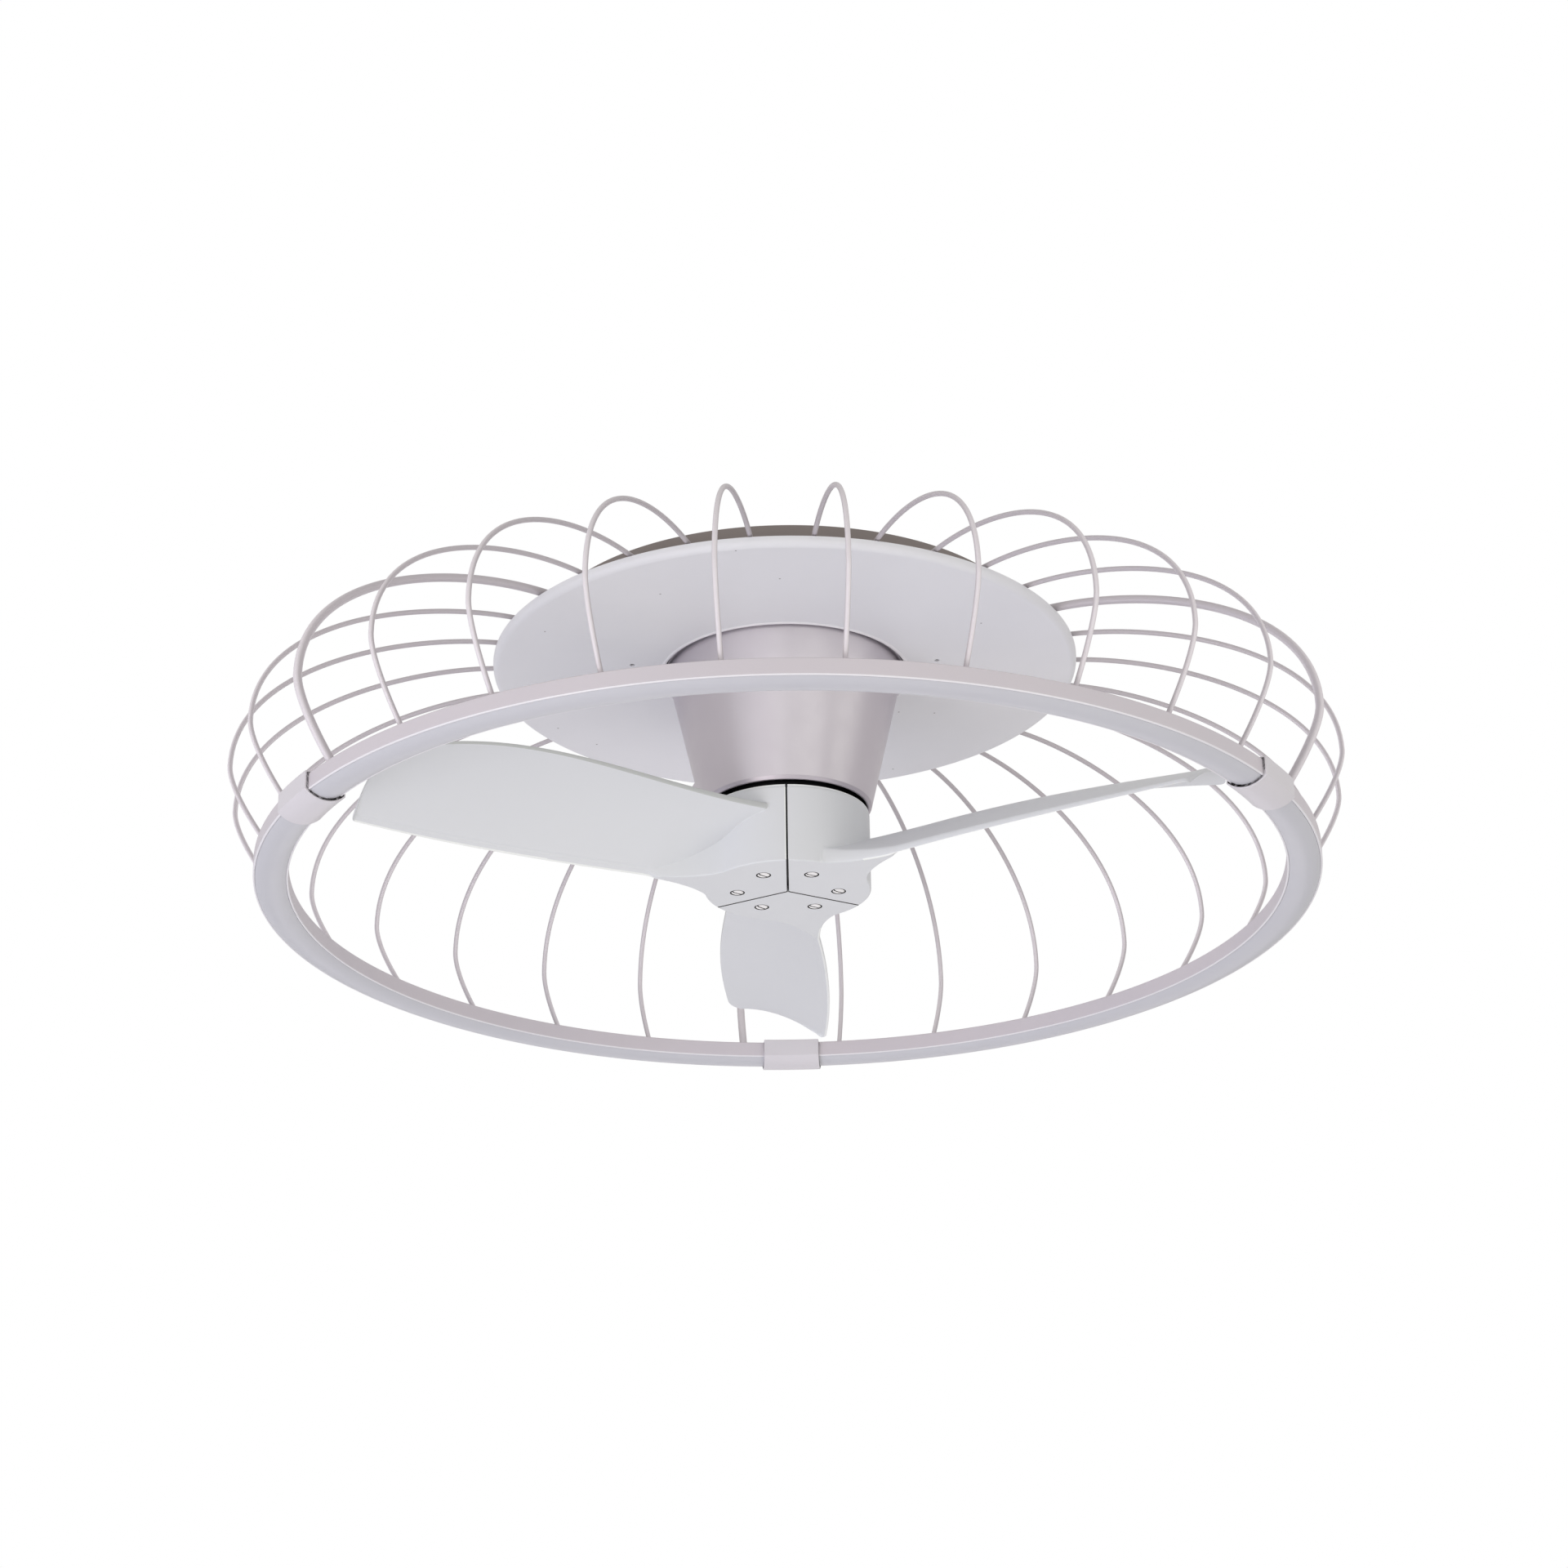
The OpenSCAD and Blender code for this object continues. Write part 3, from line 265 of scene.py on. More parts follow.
def powder_coat(name, pale, deep, gloss, specks=0.0, rarity=0.8, flank_shade=None, flat=False):
    """The colour after rarity is painted shade on a wire's flanks; flat is for the specks of a
    level sheet.
    """
    material, tree, shader, where = new_finish(name)
    colour = tint(tree, between(tree, noise(tree, where, 9.0)), pale, deep)
    # painted shade: the flanks of a wire take the darker colour given above
    if flank_shade:
        colour = tint(tree, flank(tree, where), colour, flank_shade)
    if specks:
        colour = speckled(tree, where, colour, specks, rarity, flat)
    tree.links.new(colour, shader.inputs["Base Color"])
    uneven = between(tree, noise(tree, where, 60.0), gloss - 0.04, gloss + 0.05)
    tree.links.new(uneven, shader.inputs["Roughness"])
    grain(tree, shader, noise(tree, where, 1400.0, detail=2.0), 0.10, 0.00025)
    return material


cage_paint = powder_coat(
    "cage_paint", (0.622, 0.574, 0.612), (0.597, 0.555, 0.597), 0.40, specks=0.6, rarity=0.75
)
# lighter than cage_paint though the same coat: painted light on the wires
wire_paint_lit = powder_coat(
    "wire_paint_lit", (0.745, 0.695, 0.730), (0.720, 0.675, 0.710), 0.36, flank_shade=(0.51, 0.47, 0.50)
)
# lighter and bluer than cage_paint though the same coat: painted light from below
disc_paint_lit = powder_coat(
    "disc_paint_lit", (0.768, 0.763, 0.800), (0.744, 0.738, 0.776), 0.46, 0.75, 0.88, flat=True
)
# lighter than cage_paint though the same coat: painted light on the sleeves
sleeve_paint_lit = powder_coat(
    "sleeve_paint_lit", (0.675, 0.645, 0.680), (0.650, 0.622, 0.660), 0.38, specks=0.6
)
# a painted highlight for round edges
edge_highlight_paint = powder_coat("edge_highlight_paint", (0.80, 0.78, 0.81), (0.77, 0.75, 0.79), 0.34)
canopy_paint = powder_coat("canopy_paint", (0.240, 0.204, 0.194), (0.214, 0.182, 0.174), 0.42)
# near black: painted shade in a gap
gap_shade_paint = powder_coat("gap_shade_paint", (0.050, 0.044, 0.046), (0.042, 0.038, 0.040), 0.60)
print("seven powder coats")

# %% [markdown]
# ### Metallic lacquer
#
# The motor cover is spun from thin metal and sprayed with a silver lacquer.
# Flakes in it make the sheen run down the cone in broad soft bands, darker
# where the cone turns from the light. A partly metallic shader does this. On
# the roll of the mouth the lacquer dries more matt, so it takes no hot spot.

# %% Make the silver lacquer


def silver_lacquer(name, colour, gloss):
    material, tree, shader, where = new_finish(name)
    clouds = between(tree, noise(tree, where, 14.0))
    deeper = tuple(0.96 * c for c in colour)
    tree.links.new(tint(tree, clouds, colour, deeper), shader.inputs["Base Color"])
    shader.inputs["Metallic"].default_value = 0.85
    uneven = between(tree, noise(tree, where, 90.0), gloss - 0.03, gloss + 0.04)
    tree.links.new(uneven, shader.inputs["Roughness"])
    grain(tree, shader, noise(tree, where, 2600.0, detail=1.0), 0.12, 0.00012)
    return material


cover_lacquer = silver_lacquer("cover_lacquer", (0.628, 0.584, 0.632), 0.36)
lip_lacquer = silver_lacquer("lip_lacquer", (0.600, 0.558, 0.604), 0.52)
print("silver lacquer for the motor cover and its lip")

# %% [markdown]
# ### Moulded plastics
#
# The blades are injection moulded in off-white plastic with a faint green
# cast beside the lilac paint. The mould is fine sanded, so the skin is satin,
# with a shallow waviness where thick and thin parts cooled apart. A few edge
# faces get a plastic of their own: a paler one is a painted highlight where
# the skin turns sharply, a darker one is painted shade on the leading edge,
# and a near-black one is painted shade in the seams and pockets. The
# diffuser is opal plastic: bluish, smoother, and light sinks into it.

# %% Make the plastics


def moulded_plastic(name, pale, deep, gloss, waves=25.0, depth=0.0002, sink=0.0):
    material, tree, shader, where = new_finish(name)
    clouds = between(tree, noise(tree, where, 6.0))
    tree.links.new(tint(tree, clouds, pale, deep), shader.inputs["Base Color"])
    uneven = between(tree, noise(tree, where, 45.0), gloss - 0.03, gloss + 0.04)
    tree.links.new(uneven, shader.inputs["Roughness"])
    if sink:
        shader.inputs["Subsurface Weight"].default_value = sink
        shader.inputs["Subsurface Radius"].default_value = (1.0, 1.0, 1.0)
        shader.inputs["Subsurface Scale"].default_value = 0.002
    fine = noise(tree, where, 1800.0, detail=1.0)
    broad = noise(tree, where, waves, detail=1.0)
    mix = node(tree, "Math", operation="MULTIPLY_ADD")
    mix.inputs[1].default_value = 0.12
    tree.links.new(fine, mix.inputs[0])
    tree.links.new(broad, mix.inputs[2])
    grain(tree, shader, mix.outputs[0], 0.25, depth)
    return material


blade_plastic = moulded_plastic(
    "blade_plastic", (0.684, 0.692, 0.716), (0.667, 0.675, 0.700), 0.42
)
# paler: a painted highlight on sharp edges
highlight_plastic = moulded_plastic("highlight_plastic", (0.84, 0.85, 0.84), (0.82, 0.83, 0.82), 0.36)
# darker: painted shade on the leading edge
rim_shade_plastic = moulded_plastic("rim_shade_plastic", (0.52, 0.53, 0.53), (0.50, 0.51, 0.51), 0.40)
# near black: painted shade in the seams and the pockets
recess_shade_plastic = moulded_plastic(
    "recess_shade_plastic", (0.085, 0.083, 0.082), (0.070, 0.068, 0.067), 0.60
)
opal_plastic = moulded_plastic(
    "opal_plastic", (0.565, 0.562, 0.604), (0.547, 0.544, 0.590), 0.34, sink=0.15
)
white_plastic = moulded_plastic("white_plastic", (0.72, 0.72, 0.69), (0.69, 0.69, 0.66), 0.45)
strip_coat = moulded_plastic("strip_coat", (0.78, 0.74, 0.56), (0.74, 0.70, 0.50), 0.30)
board_lacquer = moulded_plastic(
    "board_lacquer", (0.030, 0.135, 0.060), (0.024, 0.110, 0.050), 0.35
)
magnet_coat = moulded_plastic(
    "magnet_coat", (0.030, 0.030, 0.033), (0.024, 0.024, 0.026), 0.50
)
# black rubber for the grommet, also painted shade in the sleeves' gaps and the screws' slots
black_rubber_and_shade = moulded_plastic("black_rubber_and_shade", (0.018, 0.018, 0.020), (0.014, 0.014, 0.015), 0.70)
print("plastics, board and rubber")

# %% [markdown]
# ### Bare metals
#
# Screws, shaft, bearings and bracket are bare or plated steel. The motor's
# drum and the disc's screws get a near-black steel, which is painted shade in
# the gap above the hub and in the disc's holes. Cutting tools and rolling leave
# streaks along one way, so the noise is stretched: short across the streaks
# and long along them. The screws' zinc plating is dull and pale; its nearly
# white colour, with little metal in the shader, is also a painted reflection of
# the bright studio.

# %% Make the metals


def streaked_metal(name, colour, gloss, stretch=(30.0, 30.0, 900.0), metal=1.0):
    material, tree, shader, where = new_finish(name)
    squeeze = node(tree, "Mapping")
    squeeze.inputs["Scale"].default_value = stretch
    tree.links.new(where.outputs["Object"], squeeze.inputs["Vector"])
    streaks = node(tree, "TexNoise", Scale=1.0, Detail=4.0)
    tree.links.new(squeeze.outputs["Vector"], streaks.inputs["Vector"])
    amount = between(tree, streaks.outputs["Fac"])
    darker = tuple(0.85 * c for c in colour)
    tree.links.new(tint(tree, amount, colour, darker), shader.inputs["Base Color"])
    shader.inputs["Metallic"].default_value = metal
    uneven = between(tree, streaks.outputs["Fac"], gloss - 0.06, gloss + 0.08)
    tree.links.new(uneven, shader.inputs["Roughness"])
    grain(tree, shader, streaks.outputs["Fac"], 0.15, 0.0001)
    return material


# pale and hardly metal: partly the plating's dullness, partly a painted reflection of the bright
# studio
plated_steel = streaked_metal("plated_steel", (0.94, 0.92, 0.92), 0.34, metal=0.15)
turned_steel = streaked_metal("turned_steel", (0.55, 0.56, 0.58), 0.28)
rolled_steel = streaked_metal("rolled_steel", (0.50, 0.51, 0.53), 0.42, (900.0, 30.0, 30.0))
sheet_stack = streaked_metal("sheet_stack", (0.30, 0.30, 0.32), 0.45, (20.0, 20.0, 2500.0))
# near black: painted shade on the drum and in the disc's holes
dark_steel_and_shade = streaked_metal("dark_steel_and_shade", (0.045, 0.045, 0.050), 0.40)
copper_wire = streaked_metal("copper_wire", (0.62, 0.27, 0.12), 0.35, (20.0, 20.0, 2800.0))
print("six metals")

# %% [markdown]
# ## Finishes for the hidden parts
#
# Parts inside the motor and the canopy keep the technical model's shape. They
# only get their finish, by their node's name; the rest take the cage's paint.

# %% Paint the technical model
FINISHES = (
    (rolled_steel, "ceiling_bracket"),
    (black_rubber_and_shade, "cable_grommet"),
    (canopy_paint, "ceiling_canopy chassis_plate"),
    (white_plastic, "terminal_block led_driver"),
    (board_lacquer, "motor_controller"),
    (plated_steel, "frame_screws blade_screws"),
    # painted shade: the drum in the gap and the screws in the disc's holes are near black
    (dark_steel_and_shade, "disc_screws retaining_rings rotor_drum rotor_cap"),
    (turned_steel, "motor_shaft motor_bearings"),
    (sheet_stack, "stator_core"),
    (copper_wire, "stator_windings"),
    (magnet_coat, "rotor_magnets"),
    (disc_paint_lit, "disc_cover"),
    (cover_lacquer, "motor_cover"),
    (blade_plastic, "blade_a blade_b blade_c"),
    (opal_plastic, "ring_diffusers"),
    (strip_coat, "ring_light_strips"),
)
finish_of = {name: finish for finish, names in FINISHES for name in names.split()}
for name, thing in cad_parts.items():
    thing.data.materials.clear()
    thing.data.materials.append(finish_of.get(name, cage_paint))
print(len(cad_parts), "nodes have a finish")

# %% [markdown]
# ## Meshes with soft edges
#
# Every visible piece is either turned round the fan's axis, bent from a bar,
# or lofted. One helper turns points and faces into a piece: it makes the
# surface smooth, keeps a crease where two faces meet at a clear angle, and
# hides the part of the technical model that the piece stands for.

# %% The piece maker
CREASE = 38


def raw_mesh(name, points, faces):
    """A bare object, its points in millimetres, all its faces turned outward."""
    mesh = bpy.data.meshes.new(name)
    mesh.from_pydata([(x * MM, y * MM, z * MM) for x, y, z in points], [], faces)
    work = bmesh.new()
    work.from_mesh(mesh)
    bmesh.ops.recalc_face_normals(work, faces=work.faces)
    work.to_mesh(mesh)
    work.free()
    return stand(name, mesh)


def soften(mesh, crease, weld=False):
    """Smooth faces, with a crease where two meet at more than this angle."""
    work = bmesh.new()
    work.from_mesh(mesh)
    if weld:
        bmesh.ops.remove_doubles(work, verts=work.verts, dist=1e-6)
    limit = math.radians(crease)
    for face in work.faces:
        face.smooth = True
    for edge in work.edges:
        edge.smooth = len(edge.link_faces) == 2 and edge.calc_face_angle(0.0) < limit
    work.to_mesh(mesh)
    work.free()


def even_shading(piece):
    """Big faces stay flat; only the narrow faces of an edge bend the light."""
    shade = piece.modifiers.new("even_shading", "WEIGHTED_NORMAL")
    shade.keep_sharp = True


def declare(piece, body, node_name):
    """Attaches the piece to the body it rides on, hides the node it replaces, evens its shading.
    """
    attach(piece, body)
    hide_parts(node_name)
    even_shading(piece)
    return piece


def make_piece(name, points, faces, finish, slot, node_name, crease=CREASE):
    """A finished piece of the fixed frame."""
    piece = raw_mesh(name, points, faces)
    soften(piece.data, crease)
    piece.data.materials.append(finish)
    return declare(piece, "frame", node_name)


print("creases are kept above", CREASE, "degrees")

# %% [markdown]
# Outlines are drawn as corners with a radius each, as on a drawing. A corner
# with a radius becomes a small arc. That arc is what catches the light along
# the edges of painted metal.

# %% Rounded outlines


def rounded(corners, steps=4):
    """corners: (r, z, radius). Returns the outline's points."""
    points = []
    for i, (x, z, radius) in enumerate(corners):
        here = Vector((x, z))
        if radius <= 0:
            points.append(here)
            continue
        before = (Vector(corners[i - 1][:2]) - here).normalized()
        after = (Vector(corners[(i + 1) % len(corners)][:2]) - here).normalized()
        half = before.angle(after) / 2
        middle = here + (before + after).normalized() * radius / math.sin(half)
        first = here + before * radius / math.tan(half) - middle
        last = here + after * radius / math.tan(half) - middle
        for k in range(steps + 1):
            way = first.lerp(last, k / steps).normalized()
            points.append(middle + way * radius)
    return points


def outward(outline):
    """The outward direction at each point of a closed outline."""
    count = len(outline)
    area = sum(
        outline[i].x * outline[(i + 1) % count].y - outline[(i + 1) % count].x * outline[i].y
        for i in range(count)
    )
    side = 1 if area > 0 else -1
    ways = []
    for i in range(count):
        a = outline[i] - outline[i - 1]
        b = outline[(i + 1) % count] - outline[i]
        way = Vector((a.y, -a.x)).normalized() + Vector((b.y, -b.x)).normalized()
        ways.append(side * way.normalized() if way.length > 1e-6 else Vector((0, 0)))
    return ways


square = rounded([(9, 0, 1), (19, 0, 1), (19, 10, 1), (9, 10, 1)])
print("a square with round corners has", len(square), "points")

# %% [markdown]
# Turning an outline round the axis gives rings, discs and cones. An open
# turn, such as a third of the ring, is closed by its end faces, and its ends
# are eased: the last fraction of a millimetre shrinks like a rounded edge.

# %% The lathe


def strips(rings, wide, closed=False):
    """Faces between rings of wide points each, with two end faces unless closed."""
    faces = []
    for i in range(rings if closed else rings - 1):
        a, b = i * wide, (i + 1) % rings * wide
        for j in range(wide):
            k = (j + 1) % wide
            faces.append((a + j, a + k, b + k, b + j))
    if not closed:
        faces.append(tuple(range(wide)))
        faces.append(tuple(reversed(range((rings - 1) * wide, rings * wide))))
    return faces


def turned(outline, start=0.0, sweep=360.0, steps=240, ease=0.0):
    """Turns a closed outline of (radius, height); ease rounds the two ends."""
    whole = sweep >= 360
    stops = [(start + sweep * i / steps, 0.0) for i in range(steps + (0 if whole else 1))]
    if ease and not whole:
        reach = sum(p.x for p in outline) / len(outline)
        stops = stops[1:-1]
        for k in range(4, -1, -1):
            along = ease * k / 4
            inset = ease - math.sqrt(max(0.0, ease**2 - (ease - along) ** 2))
            turn = math.degrees(along / reach)
            stops.insert(0, (start + turn, inset))
            stops.append((start + sweep - turn, inset))
        stops = sorted(set(stops))
    ways = outward(outline)
    points = []
    for angle, inset in stops:
        c, s = math.cos(math.radians(angle)), math.sin(math.radians(angle))
        for p, way in zip(outline, ways):
            q = p - way * inset
            points.append((q.x * c, q.x * s, q.y))
    return points, strips(len(stops), len(outline), closed=whole)


def joined(parts):
    """Several (points, faces) as one."""
    points, faces = [], []
    for more, sides in parts:
        shift = len(points)
        points += more
        faces += [tuple(shift + v for v in face) for face in sides]
    return points, faces


print("the square turned once round has", len(turned(square)[1]), "faces")

# %% [markdown]
# ## The light ring
#
# The ring is three arcs of a small channel, open below, rolled to a circle.
# Its two lower edges are round, and a lighter paint on them is a painted
# highlight, so they shine as bright lines. Each arc stops just short of the next.

# %% Turn the ring's three arcs
RING_IN = RING_R - RING_W
WALL = 1.2
JOINT_GAP = math.degrees(0.8 / RING_MID)
channel = rounded([
    (RING_IN, level(0), 0.55),
    (RING_IN + WALL, level(0), 0.3),
    (RING_IN + WALL, RING_TOP - WALL, 0.3),
    (RING_R - WALL, RING_TOP - WALL, 0.3),
    (RING_R - WALL, level(0), 0.3),
    (RING_R, level(0), 0.7),
    (RING_R, RING_TOP, 0.8),
    (RING_IN, RING_TOP, 0.8),
])


def ring_arc(outline, turn):
    """One of the ring's three arcs, from one joint nearly to the next."""
    return turned(outline, turn + JOINT_GAP / 2, 120 - JOINT_GAP, 120)


def paint_edges(piece, wide, bands, finish=edge_highlight_paint):
    """Gives some bands another finish, counted round an outline of wide points."""
    piece.data.materials.append(finish)
    for face in piece.data.polygons:
        if len(face.vertices) == 4 and face.index % wide in bands:
            face.material_index = len(piece.data.materials) - 1


# the bands of the two lower lips get the painted highlight
LIPS = (*range(0, 9), *range(20, 29))
for letter, turn in zip("abc", JOINTS):
    arc = ring_arc(channel, turn)
    name, node_name = f"ring_channel_{letter}", f"ring_segment_{letter}"
    piece = make_piece(name, *arc, cage_paint, "frame_paint", node_name)
    paint_edges(piece, len(channel), LIPS)
print("channel outline of", len(channel), "points")

# %% [markdown]
# The diffuser is an opal profile that snaps into the channel. Its face is a
# flat arch that bulges three millimetres below the metal, and its legs stand
# up inside. Drawn as one outline: outer arch, one leg, inner arch, other leg.

# %% Turn the diffusers


def arch(half, sag, steps=18):
    """Points of a shallow arch, from one side to the other, hanging by sag."""
    radius = (half * half + sag * sag) / (2 * sag)
    edge = math.asin(half / radius)
    return [
        Vector((radius * math.sin(a), radius * (1 - math.cos(a)) - sag))
        for a in (edge * (2 * k / steps - 1) for k in range(steps + 1))
    ]


SAG, LEG, LEG_WALL = 3.0, 4.0, 1.4
half = RING_W / 2 - WALL - 0.1
inner = half - LEG_WALL
shell = [Vector((-half, LEG)), *arch(half, SAG), Vector((half, LEG)), Vector((inner, LEG))]
shell += [*reversed(arch(inner, SAG - 1.2)), Vector((-inner, LEG))]
shell = [Vector((RING_MID + p.x, level(0) + p.y)) for p in shell]
arcs = joined(ring_arc(shell, turn) for turn in JOINTS)
make_piece("opal_diffusers", *arcs, opal_plastic, "opal_plastic", "ring_diffusers")
print("diffuser bulge", SAG, "mm")

# %% [markdown]
# A sleeve hides each joint of the ring. It follows the ring's outline a
# millimetre outside it, and two lips fold over the top. The mouth's edge is
# eased, which draws a bright line round it.

# %% Draw the sleeve
SLEEVE_GAP, SLEEVE_WALL, SLEEVE_LEN, LIP = 1.1, 1.2, 38.0, 4.0
TUCK = 0.06  # keeps the lowest point of the arch inside the technical model


def sleeve_line(grow):
    """Half the width, and the lower arch, of the ring's outline grown by grow."""
    side = RING_W / 2 + grow
    sag = SAG + SLEEVE_GAP + SLEEVE_WALL - TUCK
    outer = RING_W / 2 + SLEEVE_GAP + SLEEVE_WALL
    radius = (outer * outer + sag * sag) / (2 * sag) - (outer - side)
    middle = (outer * outer + sag * sag) / (2 * sag) - sag
    edge = math.asin(side / radius)
    low = [
        (radius * math.sin(a), middle - radius * math.cos(a))
        for a in (edge * (2 * k / 20 - 1) for k in range(21))
    ]
    return side, low


outer_side, outer_low = sleeve_line(SLEEVE_GAP + SLEEVE_WALL)
inner_side, inner_low = sleeve_line(SLEEVE_GAP)
top_in, top_out = RING_H, RING_H + SLEEVE_WALL
lip_end = RING_W / 2 + SLEEVE_GAP - LIP
corners = [(x, z, 0.6 if k in (0, 20) else 0) for k, (x, z) in enumerate(outer_low)]
corners += [(outer_side, top_out, 0.6), (lip_end, top_out, 0.3), (lip_end, top_in, 0.3)]
corners += [(inner_side, top_in, 0.2)]
corners += [(x, z, 0) for x, z in reversed(inner_low)]
corners += [(-inner_side, top_in, 0.2), (-lip_end, top_in, 0.3)]
corners += [(-lip_end, top_out, 0.3), (-outer_side, top_out, 0.6)]
sleeve = rounded([(RING_MID + x, level(0) + z, r) for x, z, r in corners])
print("sleeve outline of", len(sleeve), "points")

# %% [markdown]
# The sleeve is lined with a dark sheet, which fills the gap to the ring and
# ends half a millimetre inside each mouth. The lining is painted shade: it
# makes the gap show as a dark line at the mouth. Lining and metal are turned
# together and told apart by their faces' numbers, so that they stay one piece.

# %% Turn the three sleeves with their lining
shade_lining_top = top_in - 0.1
shade_lining_out, shade_lining_low = sleeve_line(SLEEVE_GAP - 0.03)
shade_lining_in, shade_lining_high = sleeve_line(0.3)
shade_lining = [*shade_lining_low, (shade_lining_out, shade_lining_top), (shade_lining_in, shade_lining_top)]
shade_lining += [*reversed(shade_lining_high), (-shade_lining_in, shade_lining_top), (-shade_lining_out, shade_lining_top)]
shade_lining = [Vector((RING_MID + x, level(0) + z)) for x, z in shade_lining]
reach, inside = math.degrees(SLEEVE_LEN / RING_MID), 0.09
arcs = [turned(sleeve, turn - reach / 2, reach, 16, ease=0.35) for turn in JOINTS]
metal_faces = sum(len(arc[1]) for arc in arcs)
arcs += [turned(shade_lining, turn - reach / 2 + inside, reach - 2 * inside, 16) for turn in JOINTS]
sleeves = make_piece("joint_sleeves", *joined(arcs), sleeve_paint_lit, "frame_paint", "ring_sleeves")
# black: the lining is painted shade in the gap at each mouth
sleeves.data.materials.append(black_rubber_and_shade)
for face in sleeves.data.polygons:
    face.material_index = int(face.index >= metal_faces)
print("sleeves over", round(reach, 2), "degrees each")

# %% [markdown]
# ## The disc
#
# The disc is a spun dish: a flat face, a rounded rim that stands up, and a
# bead rolled round the hole, which stands a little proud of the face. A lighter
# paint on the bead's crown is a painted highlight. Spinning keeps the sheet's
# thickness, so the inside follows the outside. Four small holes take its
# screws, whose near-black finish is painted shade in the holes.

# %% Spin the disc
PLATE_LOW = PLATE_TOP - 1.5
FACE = PLATE_LOW - 4.2
RIM = FACE + 6.1
DISC_R, SHEET, BEAD_R = 179.0, 1.2, 1.5
sheet = rounded([
    (76.2, FACE, 0),
    (DISC_R, FACE, 4.0),
    (DISC_R, RIM, 0.4),
    (DISC_R - SHEET, RIM, 0.4),
    (DISC_R - SHEET, FACE + SHEET, 2.8),
    (77.4, FACE + SHEET, 0),
], steps=8)
bead = [
    Vector((76.4 + BEAD_R * math.sin(a), FACE + 0.8 - BEAD_R * math.cos(a)))
    for a in (math.radians(55 - 15 * k) for k in range(23))
]
dish = bead[::-1] + sheet[1:-1] + [Vector((77.3, FACE + 1.25))]
print("disc outline of", len(dish), "points")
disc = make_piece(
    "spun_disc", *turned(dish, steps=300), disc_paint_lit, "frame_paint", "disc_cover"
)
# painted highlight on the crown of the bead
paint_edges(disc, len(dish), range(17, 22))

# %% [markdown]
# The holes are cut with a boolean, as a punch would. The cutters are short
# round bars that are deleted afterwards. A cut mesh has new faces, so its
# creases are found again.

# %% Punch the four holes


def rod(x, y, low, high, radius, sides=32):
    """Points and faces of a round bar that stands up."""
    turns = [2 * math.pi * k / sides for k in range(sides)]
    ring = [(x + radius * math.cos(a), y + radius * math.sin(a)) for a in turns]
    return [(*place, z) for z in (low, high) for place in ring], strips(2, sides)


def carve(piece, tool, operation="DIFFERENCE", crease=CREASE):
    """Cuts piece by tool, or joins them, and deletes the tool."""
    piece.modifiers.clear()
    modifier = piece.modifiers.new("carve", "BOOLEAN")
    modifier.object = tool
    modifier.operation = operation
    modifier.solver = "EXACT"
    bpy.context.view_layer.update()
    graph = bpy.context.evaluated_depsgraph_get()
    made = bpy.data.meshes.new_from_object(piece.evaluated_get(graph))
    piece.modifiers.clear()
    piece.data = made
    bpy.data.objects.remove(tool)
    soften(made, crease, weld=True)
    even_shading(piece)


DISC_HOLE_R = 1.6
holes = [rod(x, y, FACE - 3, FACE + 3, DISC_HOLE_R) for x in (-93, 93) for y in (-20, 20)]
carve(disc, raw_mesh("punch", *joined(holes)))
print("disc has", len(disc.data.polygons), "faces")

# %% [markdown]
# ## The motor cover
#
# A tapered sleeve that grows out of the disc. Its mouth is turned inwards in
# a soft roll that hangs a little lower than the cone, so there is no sharp
# edge above the hub and only a narrow dark gap. A hidden flange at the top
# takes its screws. Where the cone turns into that flange it is painted near
# black as painted shade, so the gap at the bead is dark.

# %% Spin the motor cover
MOUTH_LEVEL, ROLL_DROP = 57.2, 1.8
MOUTH = level(MOUTH_LEVEL)
COVER_TOP = PLATE_LOW - 1.2
cone = rounded([
    (48.8, MOUTH + 3.2, 0.4),
    (48.6, MOUTH - ROLL_DROP, 0.8),
    (50.2, MOUTH - ROLL_DROP, 0.8),
    (51.6, MOUTH + 0.3, 1.2),
    (72.5, COVER_TOP, 2.0),
    (84.0, COVER_TOP, 0.3),
    (84.0, PLATE_LOW, 0.2),
    (70.0, PLATE_LOW, 0.5),
    (71.0, COVER_TOP - 0.4, 2.0),
    (50.8, MOUTH + 2.6, 1.0),
], steps=5)
cover = make_piece(
    "tapered_cover", *turned(cone, steps=200), cover_lacquer, "cover_paint", "motor_cover"
)
LIP_BANDS, FLANGE_BANDS = range(6, 23), range(27, 30)
paint_edges(cover, len(cone), LIP_BANDS, lip_lacquer)
# painted shade: the corner where the cone meets the flange is near black
paint_edges(cover, len(cone), FLANGE_BANDS, gap_shade_paint)
print("cover mouth at level", MOUTH_LEVEL)

# %% [markdown]
# ## Canopy, hoop and plate
#
# Behind the disc a dark collar closes the gap to the ceiling. It is pressed
# from one sheet: a wall, a soft corner and an inward flange. The flat hoop
# that carries the ribs' feet lies round it on the chassis plate.

